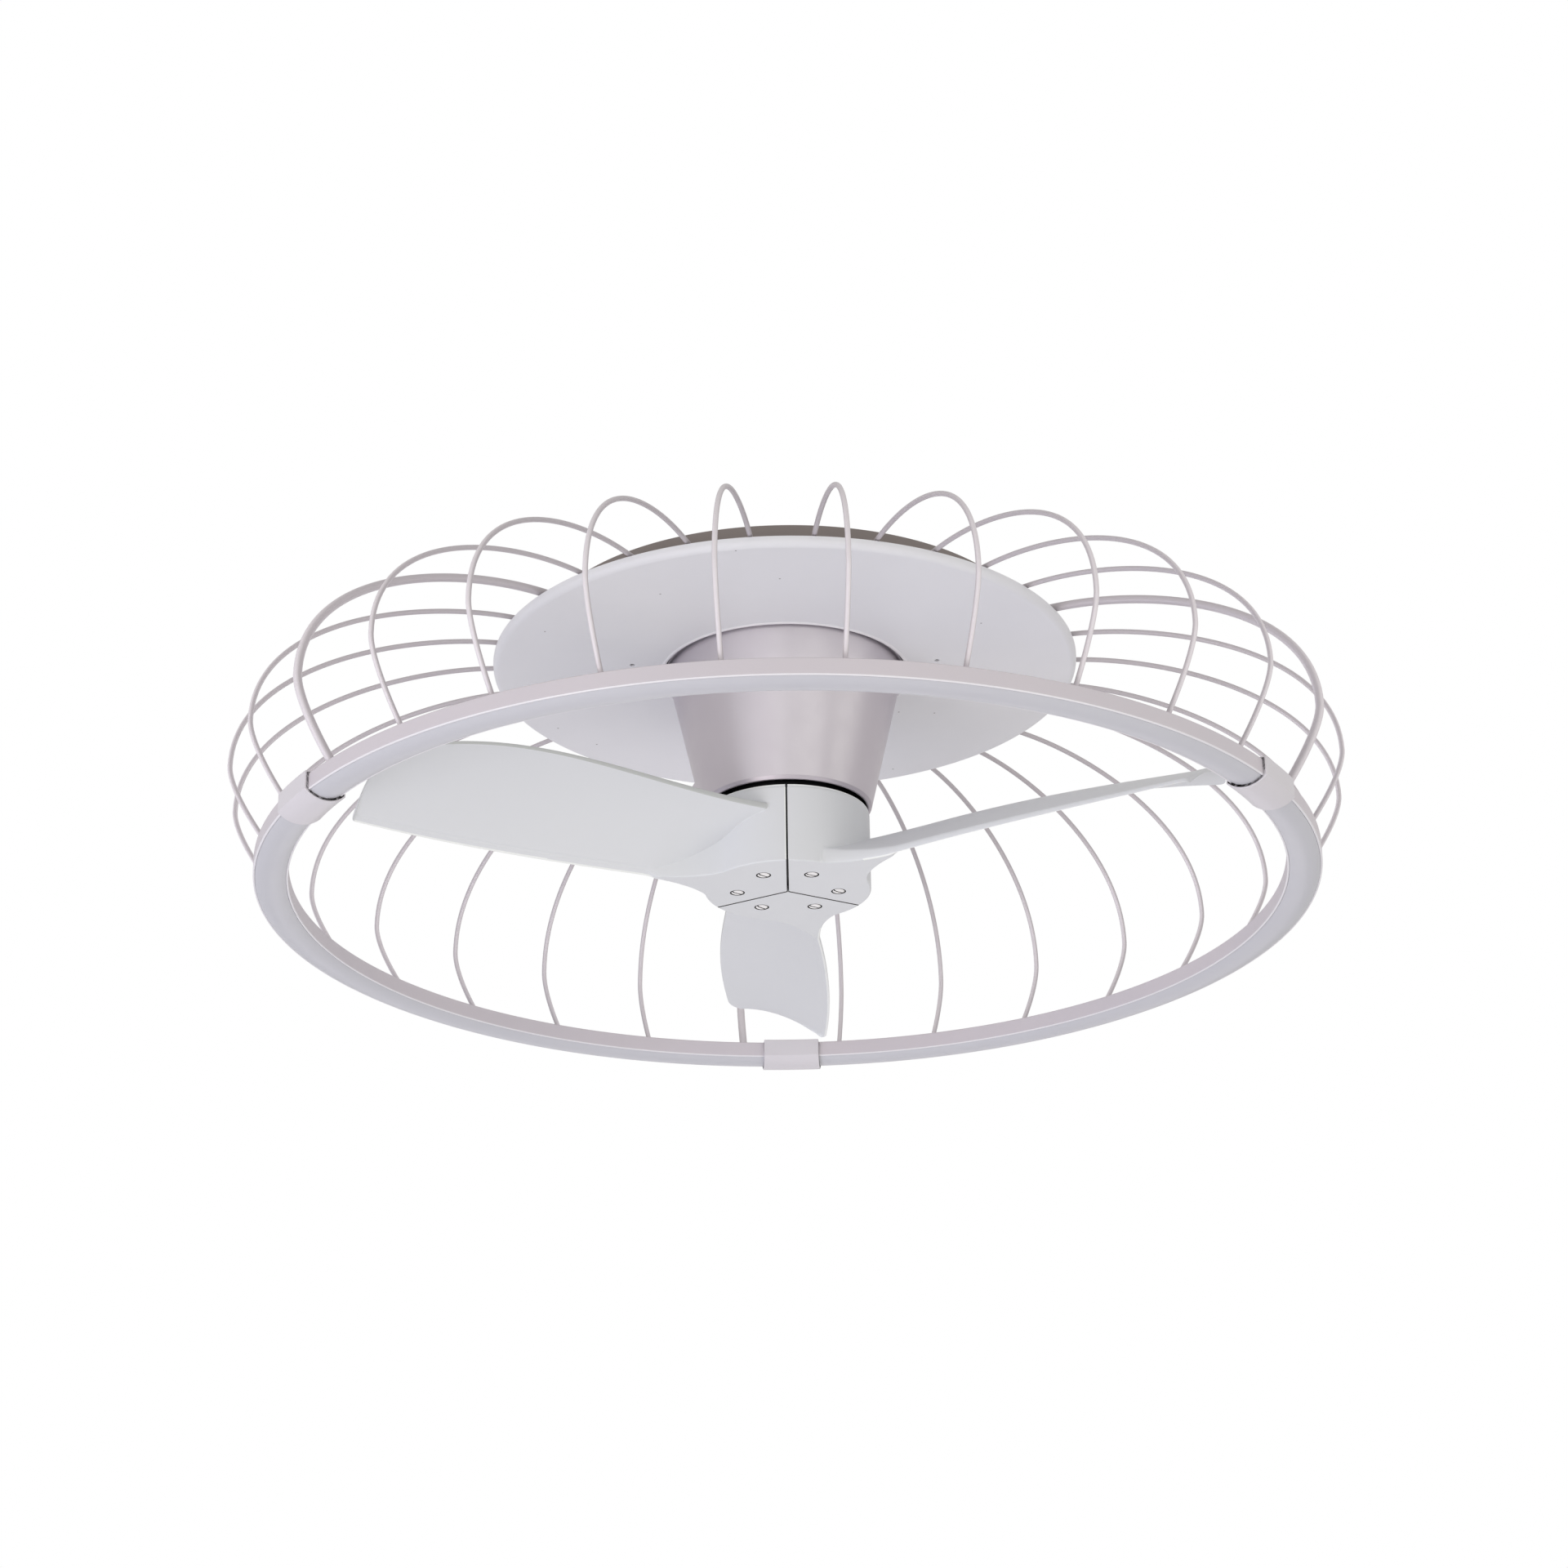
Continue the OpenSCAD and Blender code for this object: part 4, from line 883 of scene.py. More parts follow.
# %% Press the canopy and the hoop
CANOPY_R, FLANGE_R, HOOP_IN, HOOP_OUT = 150.0, 114.0, 161.0, 177.0
pressed = rounded([
    (CANOPY_R, 0.0, 0.3),
    (CANOPY_R - SHEET, 0.0, 0.3),
    (CANOPY_R - SHEET, PLATE_TOP + SHEET, 1.8),
    (FLANGE_R, PLATE_TOP + SHEET, 0.4),
    (FLANGE_R, PLATE_TOP, 0.3),
    (CANOPY_R, PLATE_TOP, 3.0),
], steps=6)
canopy = make_piece(
    "pressed_canopy", *turned(pressed), canopy_paint, "canopy_paint", "ceiling_canopy"
)
flat_ring = rounded([
    (HOOP_IN, PLATE_TOP, 0.2),
    (HOOP_OUT, PLATE_TOP, 0.2),
    (HOOP_OUT, HOOP_TOP, 0.5),
    (HOOP_IN, HOOP_TOP, 0.5),
])
hoop = make_piece("flat_hoop", *turned(flat_ring), canopy_paint, "canopy_paint", "cage_hoop")
print("canopy", -PLATE_TOP, "mm high")

# %% [markdown]
# The same punch makes the screw holes of these sheets. The side screws of
# the canopy lie on their side, so their punch is turned.

# %% Punch the sheets
CANOPY_SCREW_R, HOOP_SCREW_R, HOLE_R = 132.0, 168.0, 2.25
corners_at = (45, 135, 225, 315)
hoop_at = [60 * k + 8 for k in range(6)]


def on_circle(radius, angle):
    return radius * math.cos(math.radians(angle)), radius * math.sin(math.radians(angle))


def lying(bar, x, z):
    """A bar that stood on the origin, laid along X and moved to (x, 0, z)."""
    return [(x + c, b, z + a) for a, b, c in bar[0]], bar[1]


def punch_row(radius, angles):
    low, high = PLATE_TOP - 1, PLATE_TOP + 2.5
    return [rod(*on_circle(radius, a), low, high, HOLE_R) for a in angles]


punches = punch_row(CANOPY_SCREW_R, corners_at)
punches += [lying(rod(0, 0, -6, 6, HOLE_R), x, -8.0) for x in (-149.4, 149.4)]
carve(canopy, raw_mesh("punch", *joined(punches)))
carve(hoop, raw_mesh("punch", *joined(punch_row(HOOP_SCREW_R, hoop_at))))
print("holes punched:", len(corners_at) + 2 + len(hoop_at))

# %% [markdown]
# ## The bent ribs
#
# Each rib starts flat on the hoop, runs out, bends round its belly and comes
# back on to the ring. Two cubic curves describe the bend in the plane of
# radius and height. A round section is swept along it, so the bar stays
# round everywhere, as a bent wire does. Three of the bars are thicker: they
# are tubes that bring the light's leads to the ring. A cubic curve has two
# ends and two pulls between them, and serves for plans and heights as well.

# %% The line of the bend
RIB_END_R, FOOT_R, BEND_R = RING_R - 9.4, 172.0, 180.0
BELLY_R, BELLY_Z = RING_R + 16.6, level(60.4)


def cubic(points, t):
    """points: start, two pulls, end, as numbers or vectors; t from 0 to 1."""
    a, b, c, d = points
    return a * (1 - t) ** 3 + b * 3 * t * (1 - t) ** 2 + c * 3 * t * t * (1 - t) + d * t**3


def bend_line(bar_r):
    """Points of the rib's middle line, from the hoop to the ring."""
    foot = HOOP_TOP + bar_r
    high = [
        Vector((BEND_R, foot)),
        Vector((BEND_R + 0.38 * (BELLY_R - BEND_R), foot)),
        Vector((BELLY_R, BELLY_Z + 0.7 * (foot - BELLY_Z))),
        Vector((BELLY_R, BELLY_Z)),
    ]
    low = [
        Vector((BELLY_R, BELLY_Z)),
        Vector((BELLY_R, BELLY_Z - 0.32 * (BELLY_Z - RING_TOP))),
        Vector((RIB_END_R + 2.7, RING_TOP + 2.9)),
        Vector((RIB_END_R, RING_TOP)),
    ]
    line = [Vector((FOOT_R + along, foot)) for along in (0.0, 0.25, 0.5, 4.0)]
    line += [cubic(high, k / 40) for k in range(40)]
    line += [cubic(low, k / 24) for k in range(25)]
    return line


line = bend_line(1.5)
print("a rib is", round(sum((b - a).length for a, b in zip(line, line[1:]))), "mm of wire")

# %% [markdown]
# The foot's end is rounded by the shears and the paint. Where the bar meets
# the ring, a small weld bead widens it; the last section is cut level, so the
# bar stands flat on the metal.

# %% Sweep a bar along the line
FOOT_SHARES = (0.62, 0.87, 0.97)
BEAD_WIDTH, BEAD_HEIGHT = 0.9, 1.6


def bent_bar(bar_r, turn, sides=18):
    """Points and faces of one bar in the plane that stands at this turn."""
    line = bend_line(bar_r)
    last = len(line) - 1
    c, s = math.cos(math.radians(turn)), math.sin(math.radians(turn))
    points = []
    for i, p in enumerate(line):
        along = (line[min(i + 1, last)] - line[max(i - 1, 0)]).normalized()
        radius = bar_r * FOOT_SHARES[i] if i < 3 else bar_r
        above = p.y - RING_TOP
        if i > last - 12 and above < BEAD_HEIGHT:
            radius += BEAD_WIDTH * (1 - above / BEAD_HEIGHT) ** 2
        for j in range(sides):
            a = 2 * math.pi * (j + 0.5) / sides
            across, lift = radius * math.sin(a), radius * math.cos(a)
            r, z = p.x - along.y * lift, p.y + along.x * lift
            if i > last - 12 and along.y < 0 and (i == last or z < RING_TOP):
                r, z = r + along.x * (RING_TOP - z) / along.y, RING_TOP
            points.append((r * c - across * s, r * s + across * c, z))
    return points, strips(len(line), sides)


WIRE_R, TUBE_R = 1.5, 2.5
LEADS = {96: "a", 216: "b", 336: "c"}
count = 0
for turn in range(0, 360, 12):
    count += turn not in LEADS
    name = f"lead_tube_{LEADS[turn]}" if turn in LEADS else f"wire_rib_{count}"
    bar = bent_bar(TUBE_R if turn in LEADS else WIRE_R, turn)
    make_piece("bent_" + name, *bar, wire_paint_lit, "frame_paint", name, crease=50)
print(count, "wires and", len(LEADS), "tubes bent")

# %% [markdown]
# ## The blades
#
# A blade is a lofted shape: its edges in plan, the heights of its two edges
# and its middle, and its thickness are each a simple curve along the span.
# The same curves shaped the technical model, here with many more sections.
# First the curves; lengths are from the axis, heights from the hub's bottom.

# %% The blade's curves
HUB_R, HUB_H, TIP_R, FAIR_R, SPAN_START = 50.0, 47.2, 274.5, 86.0, 40.0


def span_share(r):
    return (r - SPAN_START) / (TIP_R - SPAN_START)


def outer_share(r):
    """0 as far as the fairing under the root reaches, 1 at the tip."""
    return max(0.0, (r - FAIR_R) / (TIP_R - FAIR_R))


def corner_cut(r, c):
    """How far a corner of radius c at the tip draws an edge in."""
    d = max(0.0, r - (TIP_R - c))
    return c - math.sqrt(max(0.0, c * c - d * d))


def lead_t(r):
    """Leading edge in plan."""
    return cubic((36.4, 32.5, 55.6, 40.5), span_share(r)) - corner_cut(r, 8.0)


def trail_t(r):
    """Trailing edge in plan, which flares out into the fairing at the root."""
    d = max(0.0, FAIR_R - r) / 50
    flare = 14.0 * (0.35 * d * d + 0.65 * d**4)
    return cubic((-19.2, -25.7, -27.5, -23.4), outer_share(r)) - flare + corner_cut(r, 3.0)


def under_z(r, s):
    """Height of the lower skin; s is 0 at the trailing and 1 at the leading edge."""
    rise = 4.2 * (max(0.0, FAIR_R - r) / 46) ** 1.5
    trail = cubic((0.3, 0.3, -0.6, 1.4), outer_share(r)) + rise
    middle = cubic((18.5, 31.0, 30.5, 23.5), span_share(r))
    lead = cubic((33.8, 34.7, 45.9, 22.4), span_share(r))
    return (1 - s) ** 2 * trail + 2 * s * (1 - s) * middle + s * s * lead


def skin_t(r, s):
    """Thickness, less towards the tip and the leading edge."""
    share = max(0.0, span_share(r)) ** 0.6
    return (5.6 + (2.5 - 5.6) * share) * (1 - 0.3 * s**4)


def crease_line(u):
    """Where the side wall of the root's fairing stands."""
    us, ts = (HUB_R - 2.5, HUB_R - 1, HUB_R + 16, FAIR_R), (16.0, 2.0, -10.0, -17.2)
    if u <= us[0]:
        return ts[0] + (us[0] - u) * 0.7
    low, high = 0.0, 1.0
    for _ in range(30):
        mid = (low + high) / 2
        low, high = (mid, high) if cubic(us, mid) < u else (low, mid)
    return cubic(ts, low)


print("thickness at the root and the tip:", skin_t(50, 0), round(skin_t(TIP_R, 0), 2))

# %% [markdown]
# Near the hub the sections follow the hub's round wall instead of a straight
# line, and at the tip the circle that the tip turns on. So how far out a
# point lies depends on its section and on its way from the middle line, and
# the two are found in a few rounds.

# %% Follow the hub and the tip


def smooth_step(x):
    x = min(1.0, max(0.0, x))
    return x * x * (3 - 2 * x)


def reach_of(r, t):
    """How far out a point lies whose section has radius r."""
    round_r = math.sqrt(max(1.0, r * r - t * t))
    share = 1 - smooth_step((r - 54.0) / 28.0) if r < FAIR_R else outer_share(r) ** 2
    return r + (round_r - r) * share


def column(r, place):
    """(u, t, r for the curves) of a column; place takes u and returns t."""
    u = r
    for _ in range(8):
        t = place(u if r < FAIR_R else r)
        u = reach_of(r, t)
    return u, t, (u if r < FAIR_R else r)


print("at the wall, 30 mm off the middle line:", round(reach_of(HUB_R, 30.0), 1), "mm out")

# %% [markdown]
# One section is a closed ring of points. They come in the order in which a
# finger would run round the blade, and each stretch says where its points lie
# across the blade and how high. Both edges are nearly square with soft
# corners, as moulded blades have them, which a power of the cosine gives.

# %% Draw one section


def blade_section(r):
    """One closed section: bottom, side wall, lower skin, edges, upper skin."""
    ring = []

    def edge_in(q):
        return 0.30 * skin_t(q, 0)

    def low_t(q):
        return trail_t(q) + edge_in(q)

    def high_t(q):
        return lead_t(q) - 0.6 * edge_in(q)

    def wall_t(q):
        fair = crease_line(q) if q < FAIR_R else trail_t(q) + 2
        return max(fair, low_t(q) + 2.4)

    def share(q, t):
        return (t - trail_t(q)) / (lead_t(q) - trail_t(q))

    def under(q, t):
        return under_z(q, share(q, t))

    def skin(q, t):
        return skin_t(q, share(q, t))

    def bottom(q, t):
        return under(q, t) * smooth_step((q - 79.0) / 8.0)

    def lift(q, t, part):
        """A height between the bottom and the skin; part is 0 to 1."""
        return bottom(q, t) + (under(q, wall_t(q) + 1.5) - bottom(q, t)) * part

    def add(place, height):
        """One point: place gives t for a radius, height gives z for radius and t."""
        u, t, q = column(r, place)
        ring.append((u, t, height(q, t)))

    for k in range(6):  # the flat bottom, then the round of its edge
        add(lambda q: low_t(q) + (wall_t(q) - 1.0 - low_t(q)) * k / 5, bottom)
    for turn in (math.radians(22.5 * k) for k in range(1, 5)):
        add(
            lambda q: wall_t(q) - 1.0 + math.sin(turn),
            lambda q, t: bottom(q, t)
            + min(1.0, 0.4 * max(0.0, under(q, t) - bottom(q, t))) * (1 - math.cos(turn)),
        )
    for k in (0.35, 0.7, 1.0):  # the side wall with its draft
        add(lambda q: wall_t(q) + 1.5 * k, lambda q, t: lift(q, t, k))
    for k in [0.012] + [k / 18 for k in range(1, 18)] + [0.988, 1.0]:  # the lower skin
        add(lambda q: wall_t(q) + 1.5 + (high_t(q) - wall_t(q) - 1.5) * k, under)
    for turn in (math.pi * k / 8 - math.pi / 2 for k in range(1, 8)):  # leading edge
        out = max(0.0, math.cos(turn)) ** 0.5  # its edge is nearly square
        side = math.copysign(abs(math.sin(turn)) ** 0.7, turn)
        add(
            lambda q: high_t(q) + (lead_t(q) - high_t(q)) * out,
            lambda q, t: under(q, t) + skin(q, t) / 2 * (1 + side),
        )
    for k in [0, 0.01] + [k / 24 for k in range(1, 24)] + [0.99, 1]:  # the upper skin
        add(
            lambda q: high_t(q) + (low_t(q) - high_t(q)) * k,
            lambda q, t: under(q, t) + skin(q, t),
        )
    for turn in (math.pi / 2 - math.pi * k / 8 for k in range(1, 8)):  # trailing edge
        out = max(0.0, math.cos(turn)) ** 0.6
        side = math.copysign(abs(math.sin(turn)) ** 0.8, turn)

        def edge_z(q, t):
            base = bottom(q, t) if q < FAIR_R else under(q, t)
            top = under(q, t) + skin(q, t)
            return (base + top) / 2 + (top - base) / 2 * side

        add(lambda q: low_t(q) - (low_t(q) - trail_t(q)) * out, edge_z)
    return ring


print("a section has", len(blade_section(150.0)), "points")

# %% [markdown]
# A mould leaves a small fillet where blade and hub meet: every point within
# 0.6 millimetres of the wall is pushed out a little. The sections stand close
# together where the shape changes fast, at the wall and at the tip's corners.

# %% Loft one blade


def add_fillet(ring, size=0.6):
    """Pushes the points near the hub's wall out, in the plane of the section."""
    flat = [Vector((t, z)) for _, t, z in ring]
    ways = outward(flat)
    made = []
    for (u, t, z), way in zip(ring, ways):
        gap = math.hypot(u, t) - HUB_R
        push = 0.0
        if gap < size and z > 1.2:
            short = size - max(0.0, gap)
            push = size - math.sqrt(size * size - short * short)
        made.append((u, t + way.x * push, z + way.y * push))
    return made


stations = [48.6, 49.6, 50.0, 50.05, 50.15, 50.3, 50.6, 51.4, 53.0, 55.0, 57.5, 60.0]
stations += [62.5 + 2.5 * k for k in range(10)] + [89.0 + 5.5 * k for k in range(32)]
stations += [262.0, 265.0]
stations += [TIP_R - 8 + 8 * math.sin(math.radians(10 * k)) for k in range(1, 10)]
rings = [add_fillet(blade_section(r)) for r in stations]
sides = len(rings[0])
print(len(stations), "sections of", sides, "points")

# %% [markdown]
# The hub is split into three, and each third is moulded in one piece with its
# blade. Two flat cuts, half a millimetre from the neighbours each, show as
# fine dark seams. The lower edge of the cup is rounded, and a thin collar
# stands on its rim, a little inside the wall, so the motor hardly shows.

# %% Mould a third of the hub
SEAM, SEAM_EASE, COLLAR, SEAM_BAND = 1.0, 0.2, 1.7, 0.75
cup = rounded([
    (1.0, 0.0, 0),
    (HUB_R, 0.0, 1.0),
    (HUB_R, HUB_H, 0.4),
    (HUB_R - 0.5, HUB_H + 0.1, 0),
    (HUB_R - 0.5, HUB_H + 1.2, 0),
    (HUB_R - 0.4, HUB_H + 1.3, 0),
    (HUB_R - 0.4, HUB_H + COLLAR, 0.15),
    (HUB_R - 3, HUB_H + COLLAR, 0.5),
    (HUB_R - 3, 4.0, 1.0),
    (1.0, 4.0, 0),
], steps=5)
ways = outward(cup)
cuts = [(-1 + k / 24, SEAM_EASE) for k in range(1, 48)]  # (share of the turn, way in)
for away in (SEAM_BAND, SEAM_EASE, 0.08, 0.02, 0.0):
    cuts = [(-1, away)] + cuts + [(1, away)]
points = []
for turn, away in cuts:
    inset = SEAM_EASE - math.sqrt(SEAM_EASE**2 - max(0.0, SEAM_EASE - away) ** 2)
    for p, way in zip(cup, ways):
        x, z = p.x - way.x * inset * (p.x > 2), p.y - way.y * inset
        beyond = min(away, SEAM_EASE) + max(0.0, away - SEAM_EASE) * (x / HUB_R) ** 2
        a = turn * (math.radians(60) - math.asin((SEAM / 2 + beyond) / x))
        points.append((x * math.cos(a), x * math.sin(a), z))
hub_third = raw_mesh("hub_third", points, strips(len(cuts), len(cup)))
print("hub's third of", len(cuts), "sections")

# %% [markdown]
# A boolean joins the loft to the cup, as the mould does, and two pairs of
# round bars cut the pockets and the clearance holes of the screws.

# %% Join the blade and cut the pockets
SCREW_R, SCREW_TURN, SEAT, POCKET_R = 30.4, 32, 2.0, 4.5
loft = [p for ring in rings for p in ring]
skin = strips(len(rings), sides)
skin[-2:] = [end[::-1] for end in skin[-2:]]  # a loft's ends face the other way
carve(hub_third, raw_mesh("loft", loft, skin), "UNION", crease=32)
seats = [on_circle(SCREW_R, side * SCREW_TURN) for side in (-1, 1)]
for place in seats:
    for low, high, radius in ((-1.0, SEAT, POCKET_R), (SEAT - 0.2, 6.0, HOLE_R)):
        carve(hub_third, raw_mesh("pocket", *rod(*place, low, high, radius, 40)), crease=32)
print("one blade with its third of the hub:", len(hub_third.data.polygons), "faces")

# %% [markdown]
# One moulding has one plastic, but light treats its edges unlike its skin,
# and that light is painted. Each face is asked where its middle lies: the
# collar, the sharp trailing edge and one side of the seam get a painted
# highlight, the leading edge gets painted shade, and the seam's walls and the
# pockets get a near-black painted shade.

# %% Sort the faces by their place


def plastic_of(face):
    """The number of the face's plastic in the list below."""
    x, y, z = face.center / MM
    out = math.hypot(x, y)
    from_cut = x * math.sqrt(0.75) - abs(y) / 2
    pocket = min(math.hypot(x - a, y - b) for a, b in seats) < POCKET_R + 0.1
    # 3: painted shade in the pockets and on the seams' walls
    if (pocket and 0.05 < z < SEAT + 0.1) or (
        abs(from_cut) < SEAM / 2 + 0.15 and out < HUB_R - 0.1
    ):
        return 3
    # 2: painted shade on the leading edge
    if out > HUB_R + 0.3 and face.normal.y > 0.6 and y > lead_t(x) - 0.9:
        return 2
    # 1: painted highlight on the collar, the trailing edge and beside the seam
    collar = out > HUB_R - 1.0 and z > HUB_H + 1.2
    trailing = 62 < x < TIP_R - 3 and y < trail_t(x) + 1.5 and face.normal.z < -0.5
    beside = y > 0 and SEAM / 2 + 0.1 < from_cut < SEAM / 2 + SEAM_BAND
    return int(collar or trailing or (beside and out > HUB_R - 0.3 and z > 14))


for finish in (blade_plastic, highlight_plastic, rim_shade_plastic, recess_shade_plastic):
    hub_third.data.materials.append(finish)
for face in hub_third.data.polygons:
    face.material_index = plastic_of(face)
print(sum(face.material_index > 0 for face in hub_third.data.polygons), "faces of an edge")

# %% [markdown]
# Three blades come out of one mould, so they share this shape. Each gets its
# own turned copy of the mesh, because a piece must stay at the frame's origin.

# %% Place the three blades
HUB_Z = level(3.3)
lift = Matrix.Translation((0, 0, HUB_Z * MM))
for letter, turn in zip("abc", JOINTS):
    mesh = hub_third.data.copy()
    mesh.name = f"moulded_blade_{letter}"
    mesh.transform(Matrix.Rotation(math.radians(turn), 4, "Z") @ lift)
    declare(stand(mesh.name, mesh), "rotor", f"blade_{letter}")
bpy.data.objects.remove(hub_third)
print("three blades, tips at", TIP_R, "mm")

# %% [markdown]
# ## Screws
#
# The blade screws are seen at the middle of the picture. A pan head is a
# turned button: flat bearing face, short side, domed top. Its slot is milled.
# Slot and side lie in the pocket's shade, and a black finish on them is painted shade.

# %% Shape the pan screw


def pan_screw(length):
    """Points and faces of a screw that points up, its head at the origin."""
    outline = rounded([
        (0.02, 0.0, 0),
        (0.02, -2.4, 0),
        (2.6, -2.35, 1.5),
        (4.0, -1.7, 0.7),
        (4.0, 0.0, 0.15),
        (1.95, 0.0, 0.1),
        (1.95, length - 0.5, 0.2),
        (1.45, length, 0.1),
        (0.02, length, 0),
    ])
    return turned(outline, steps=48)


def slot_cutter():
    """Points and faces of the milling tool, a flat bar across the head."""
    corners = ((-5, -0.5), (5, -0.5), (5, 0.5), (-5, 0.5))
    return [(x, y, z) for z in (-3.4, -1.45) for x, y in corners], strips(2, 4)


def screw_mesh(name, length):
    thing = raw_mesh(name, *pan_screw(length))
    carve(thing, raw_mesh("slot", *slot_cutter()), crease=40)
    mesh = thing.data
    bpy.data.objects.remove(thing)
    for face in mesh.polygons:
        x, y, z = face.center / MM
        # painted shade: the slot and the side of the head get the black finish
        in_slot = abs(y) < 0.52 and -2.3 < z < -1.4
        face.material_index = int(in_slot or (math.hypot(x, y) > 3.62 and z < -0.1))
    return mesh


short_screw = screw_mesh("blade_screw", 5.6)
print("a blade screw has", len(short_screw.polygons), "faces")

# %% [markdown]
# All screws of a kind are copies of one mesh, joined into one piece, because
# the technical model keeps them in one node too. Each copy has its place and
# its spin. The slots of the blade screws stop at nearly the same angle.

# %% Place the blade screws


def place_screws(name, mesh, places, body, node_name):
    """places: matrices in the frame. All the screws become one piece."""
    work = bmesh.new()
    for place in places:
        copy = mesh.copy()
        copy.transform(place)
        work.from_mesh(copy)
        bpy.data.meshes.remove(copy)
    made = bpy.data.meshes.new(name)
    work.to_mesh(made)
    work.free()
    made.materials.append(plated_steel)
    made.materials.append(black_rubber_and_shade)
    declare(stand(name, made), body, node_name)


def at(x, y, z, spin=0.0, tilt=0.0):
    """A screw's place: spun about itself, then tilted, then moved."""
    place = Matrix.Translation((x * MM, y * MM, z * MM))
    place @= Matrix.Rotation(math.radians(tilt), 4, "Y")
    return place @ Matrix.Rotation(math.radians(spin), 4, "Z")


SPINS = (31, 44, 36, 40, 28, 38)
places = [
    at(*on_circle(SCREW_R, turn + side * SCREW_TURN), HUB_Z + SEAT, SPINS[2 * k + (side > 0)])
    for k, turn in enumerate(JOINTS)
    for side in (-1, 1)
]
place_screws("pan_blade_screws", short_screw, places, "rotor", "blade_screws")
print(len(places), "screws hold the blades")

# %% [markdown]
# The fixed screws of the frame are the same kind. Some point down into the
# chassis plate, some up into it, and two lie in the canopy's side.

# %% Make the frame's screws
COVER_SCREW_R, SHAFT_SCREW_R, SIDE_SCREW_Z = 80.0, 19.25, -8.0
long_screw = screw_mesh("frame_screw", 4.0)
places = [at(*on_circle(HOOP_SCREW_R, a), HOOP_TOP, 7 * a, 180) for a in hoop_at]
places += [
    at(*on_circle(CANOPY_SCREW_R, a), PLATE_TOP + SHEET, 3 * a, 180) for a in corners_at
]
places += [at(*on_circle(COVER_SCREW_R, a), PLATE_TOP, 5 * a, 180) for a in JOINTS]
places += [
    at(*on_circle(SHAFT_SCREW_R, a), PLATE_LOW - 2.4, a + 20) for a in (0, 90, 180, 270)
]
places += [
    at(side * CANOPY_R, 0, SIDE_SCREW_Z, spin, -90 * side) for side, spin in ((1, 30), (-1, 75))
]
place_screws("pan_frame_screws", long_screw, places, "frame", "frame_screws")
print(len(places), "screws in the frame")

# %% [markdown]
# ## Light and background
#
# A studio would hang the fan in front of white paper and light it softly from
# the camera's side and from below. The world gives an even light. Rays from
# the camera see it as plain white; the light that falls on the fan is a
# little weaker, which leaves room for the lamps.

# %% Light the room evenly
world = bpy.data.worlds.new("studio")
bpy.context.scene.world = world
world.use_nodes = True
tree = world.node_tree


def either(tree, share, first, second, end):
    """Mixes two shaders by share and links them to the tree's end."""
    pick = node(tree, "MixShader")
    tree.links.new(share, pick.inputs["Fac"])
    tree.links.new(first, pick.inputs[1])
    tree.links.new(second, pick.inputs[2])
    tree.links.new(pick.outputs["Shader"], tree.nodes[end].inputs["Surface"])


EVEN_LIGHT = 0.696
backing = tree.nodes["Background"]
backing.inputs["Color"].default_value = (1.0, 0.983, 0.965, 1)
backing.inputs["Strength"].default_value = EVEN_LIGHT
white = node(tree, "Background", Color=(1, 1, 1, 1), Strength=1.0)
seen = node(tree, "LightPath").outputs["Is Camera Ray"]
either(tree, seen, backing.outputs["Background"], white.outputs["Background"], "World Output")
print("even light of strength", EVEN_LIGHT)

# %% [markdown]
# Nine soft boxes stand on a sphere round the fan. Three lie low and give most
# of the light from below; five stand nearly level and run round the front, so
# their sheen on the cone and the ring changes softly; one lifts the back.
# Each has a faint colour of its own, as mixed lamps and windows give; the one
# low at the left is clearly bluish, like daylight.

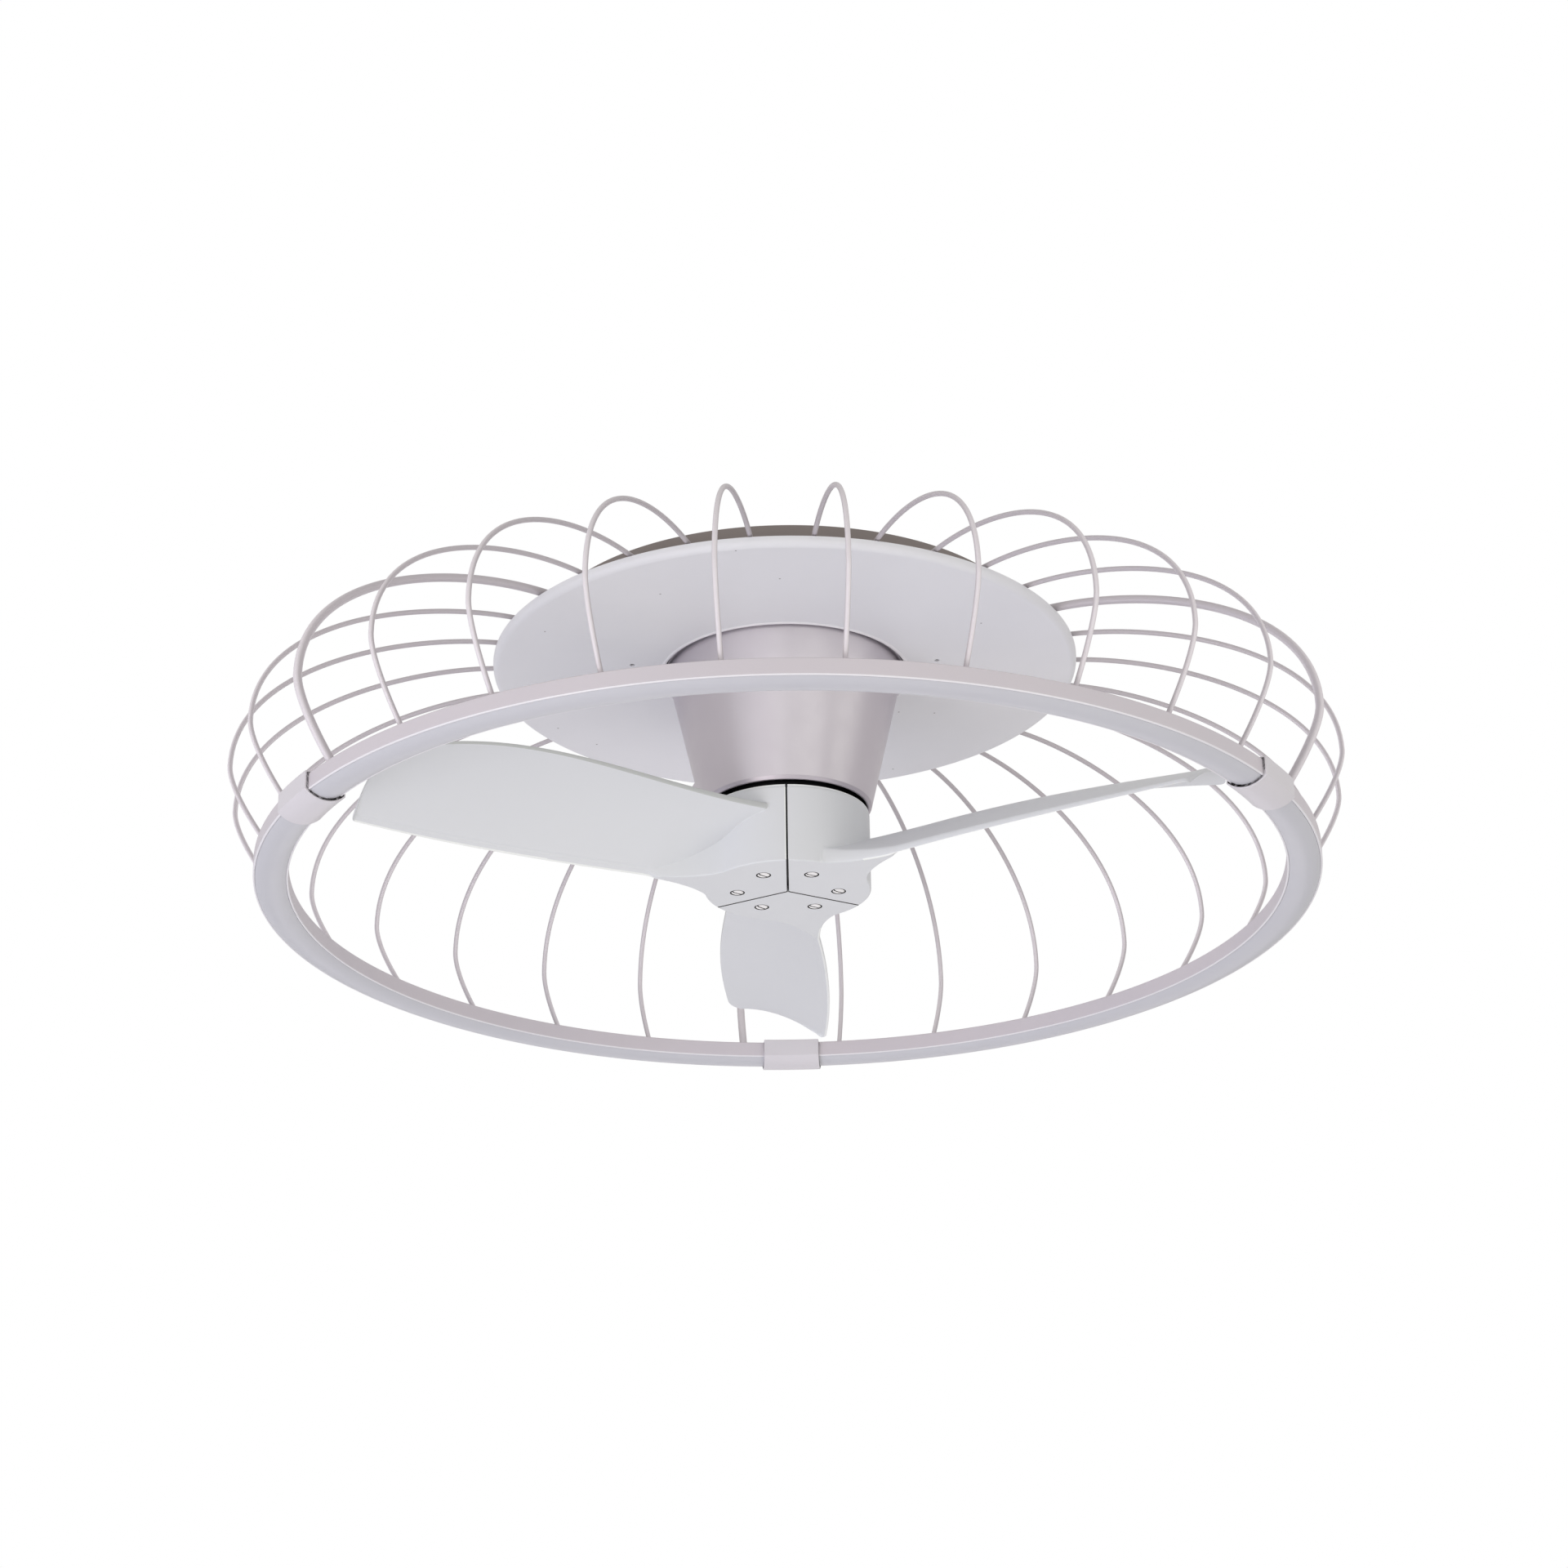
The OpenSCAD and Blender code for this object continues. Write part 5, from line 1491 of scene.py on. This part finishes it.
# %% Place the soft boxes
AIM, FAR, BOX_SIDE = Vector((0, 0, -0.1)), 3.0, 1.6
BOXES = {  # turn round the fan, rise above its level (degrees), power, colour
    "key": (225, -35, 24.1, (1.0, 0.95, 0.94)),
    "left_low": (195, -35, 13.5, (0.62, 0.70, 1.0)),
    "right_low": (340, -35, 10.7, (1.0, 0.98, 0.99)),
    "left": (225, -5, 2.1, (0.88, 1.0, 1.0)),
    "front_left": (250, -5, 3.1, (0.97, 1.0, 1.0)),
    "front": (270, -5, 3.8, (0.94, 1.0, 0.92)),
    "front_right": (300, -5, 5.2, (0.95, 1.0, 0.91)),
    "right": (340, -5, 4.7, (0.95, 1.0, 0.88)),
    "back": (90, -20, 3.4, (1.0, 0.95, 1.0)),
}
for name, (turn, rise, power, colour) in BOXES.items():
    lamp = bpy.data.lights.new(name, "AREA")
    lamp.shape = "RECTANGLE"
    lamp.size = lamp.size_y = BOX_SIDE
    lamp.energy = power
    lamp.color = colour
    a, e = math.radians(turn), math.radians(rise)
    way = Vector((math.cos(a) * math.cos(e), math.sin(a) * math.cos(e), math.sin(e)))
    thing = stand(name, lamp)
    thing.location = AIM + way * FAR
    thing.rotation_euler = (-way).to_track_quat("-Z", "Y").to_euler()
    thing.visible_camera = False
print(len(BOXES), "soft boxes", FAR, "m away")

# %% [markdown]
# The floor lies far below the hanging fan. It is pale, takes the fan's faint
# shadow, and glows just enough for the camera that it merges with the white
# background instead of showing a grey horizon.

# %% Lay the floor
FLOOR_Z, HALF_WIDTH, GLOW_SHARE = -2.6, 30, 0.7
corners = ((-1, -1), (1, -1), (1, 1), (-1, 1))
points = [(HALF_WIDTH * x, HALF_WIDTH * y, FLOOR_Z) for x, y in corners]
mesh = bpy.data.meshes.new("floor")
mesh.from_pydata(points, [], [(0, 1, 2, 3)])
floor = stand("floor", mesh)
material = bpy.data.materials.new("floor")
material.use_nodes = True
tree = material.node_tree
shader = tree.nodes["Principled BSDF"]
shader.inputs["Base Color"].default_value = (0.80, 0.80, 0.80, 1)
shader.inputs["Roughness"].default_value = 0.9
shader.inputs["Specular IOR Level"].default_value = 0.1
glow = node(tree, "Emission", Strength=1.0)
seen = node(tree, "LightPath").outputs["Is Camera Ray"]
share = maths(tree, "Math", "MULTIPLY", seen, GLOW_SHARE)
either(tree, share, shader.outputs["BSDF"], glow.outputs["Emission"], "Material Output")
floor.data.materials.append(material)
floor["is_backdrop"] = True
print("floor at", FLOOR_Z, "m")

# %% [markdown]
# ## Last steps
#
# The picture is kept neutral, and the box of the finished fan is printed.

# %% Finish
scene = bpy.context.scene
scene.view_settings.view_transform = "Standard"
low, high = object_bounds()
print("box of the finished fan, mm:", [round(1000 * v, 1) for v in (*low, *high)])
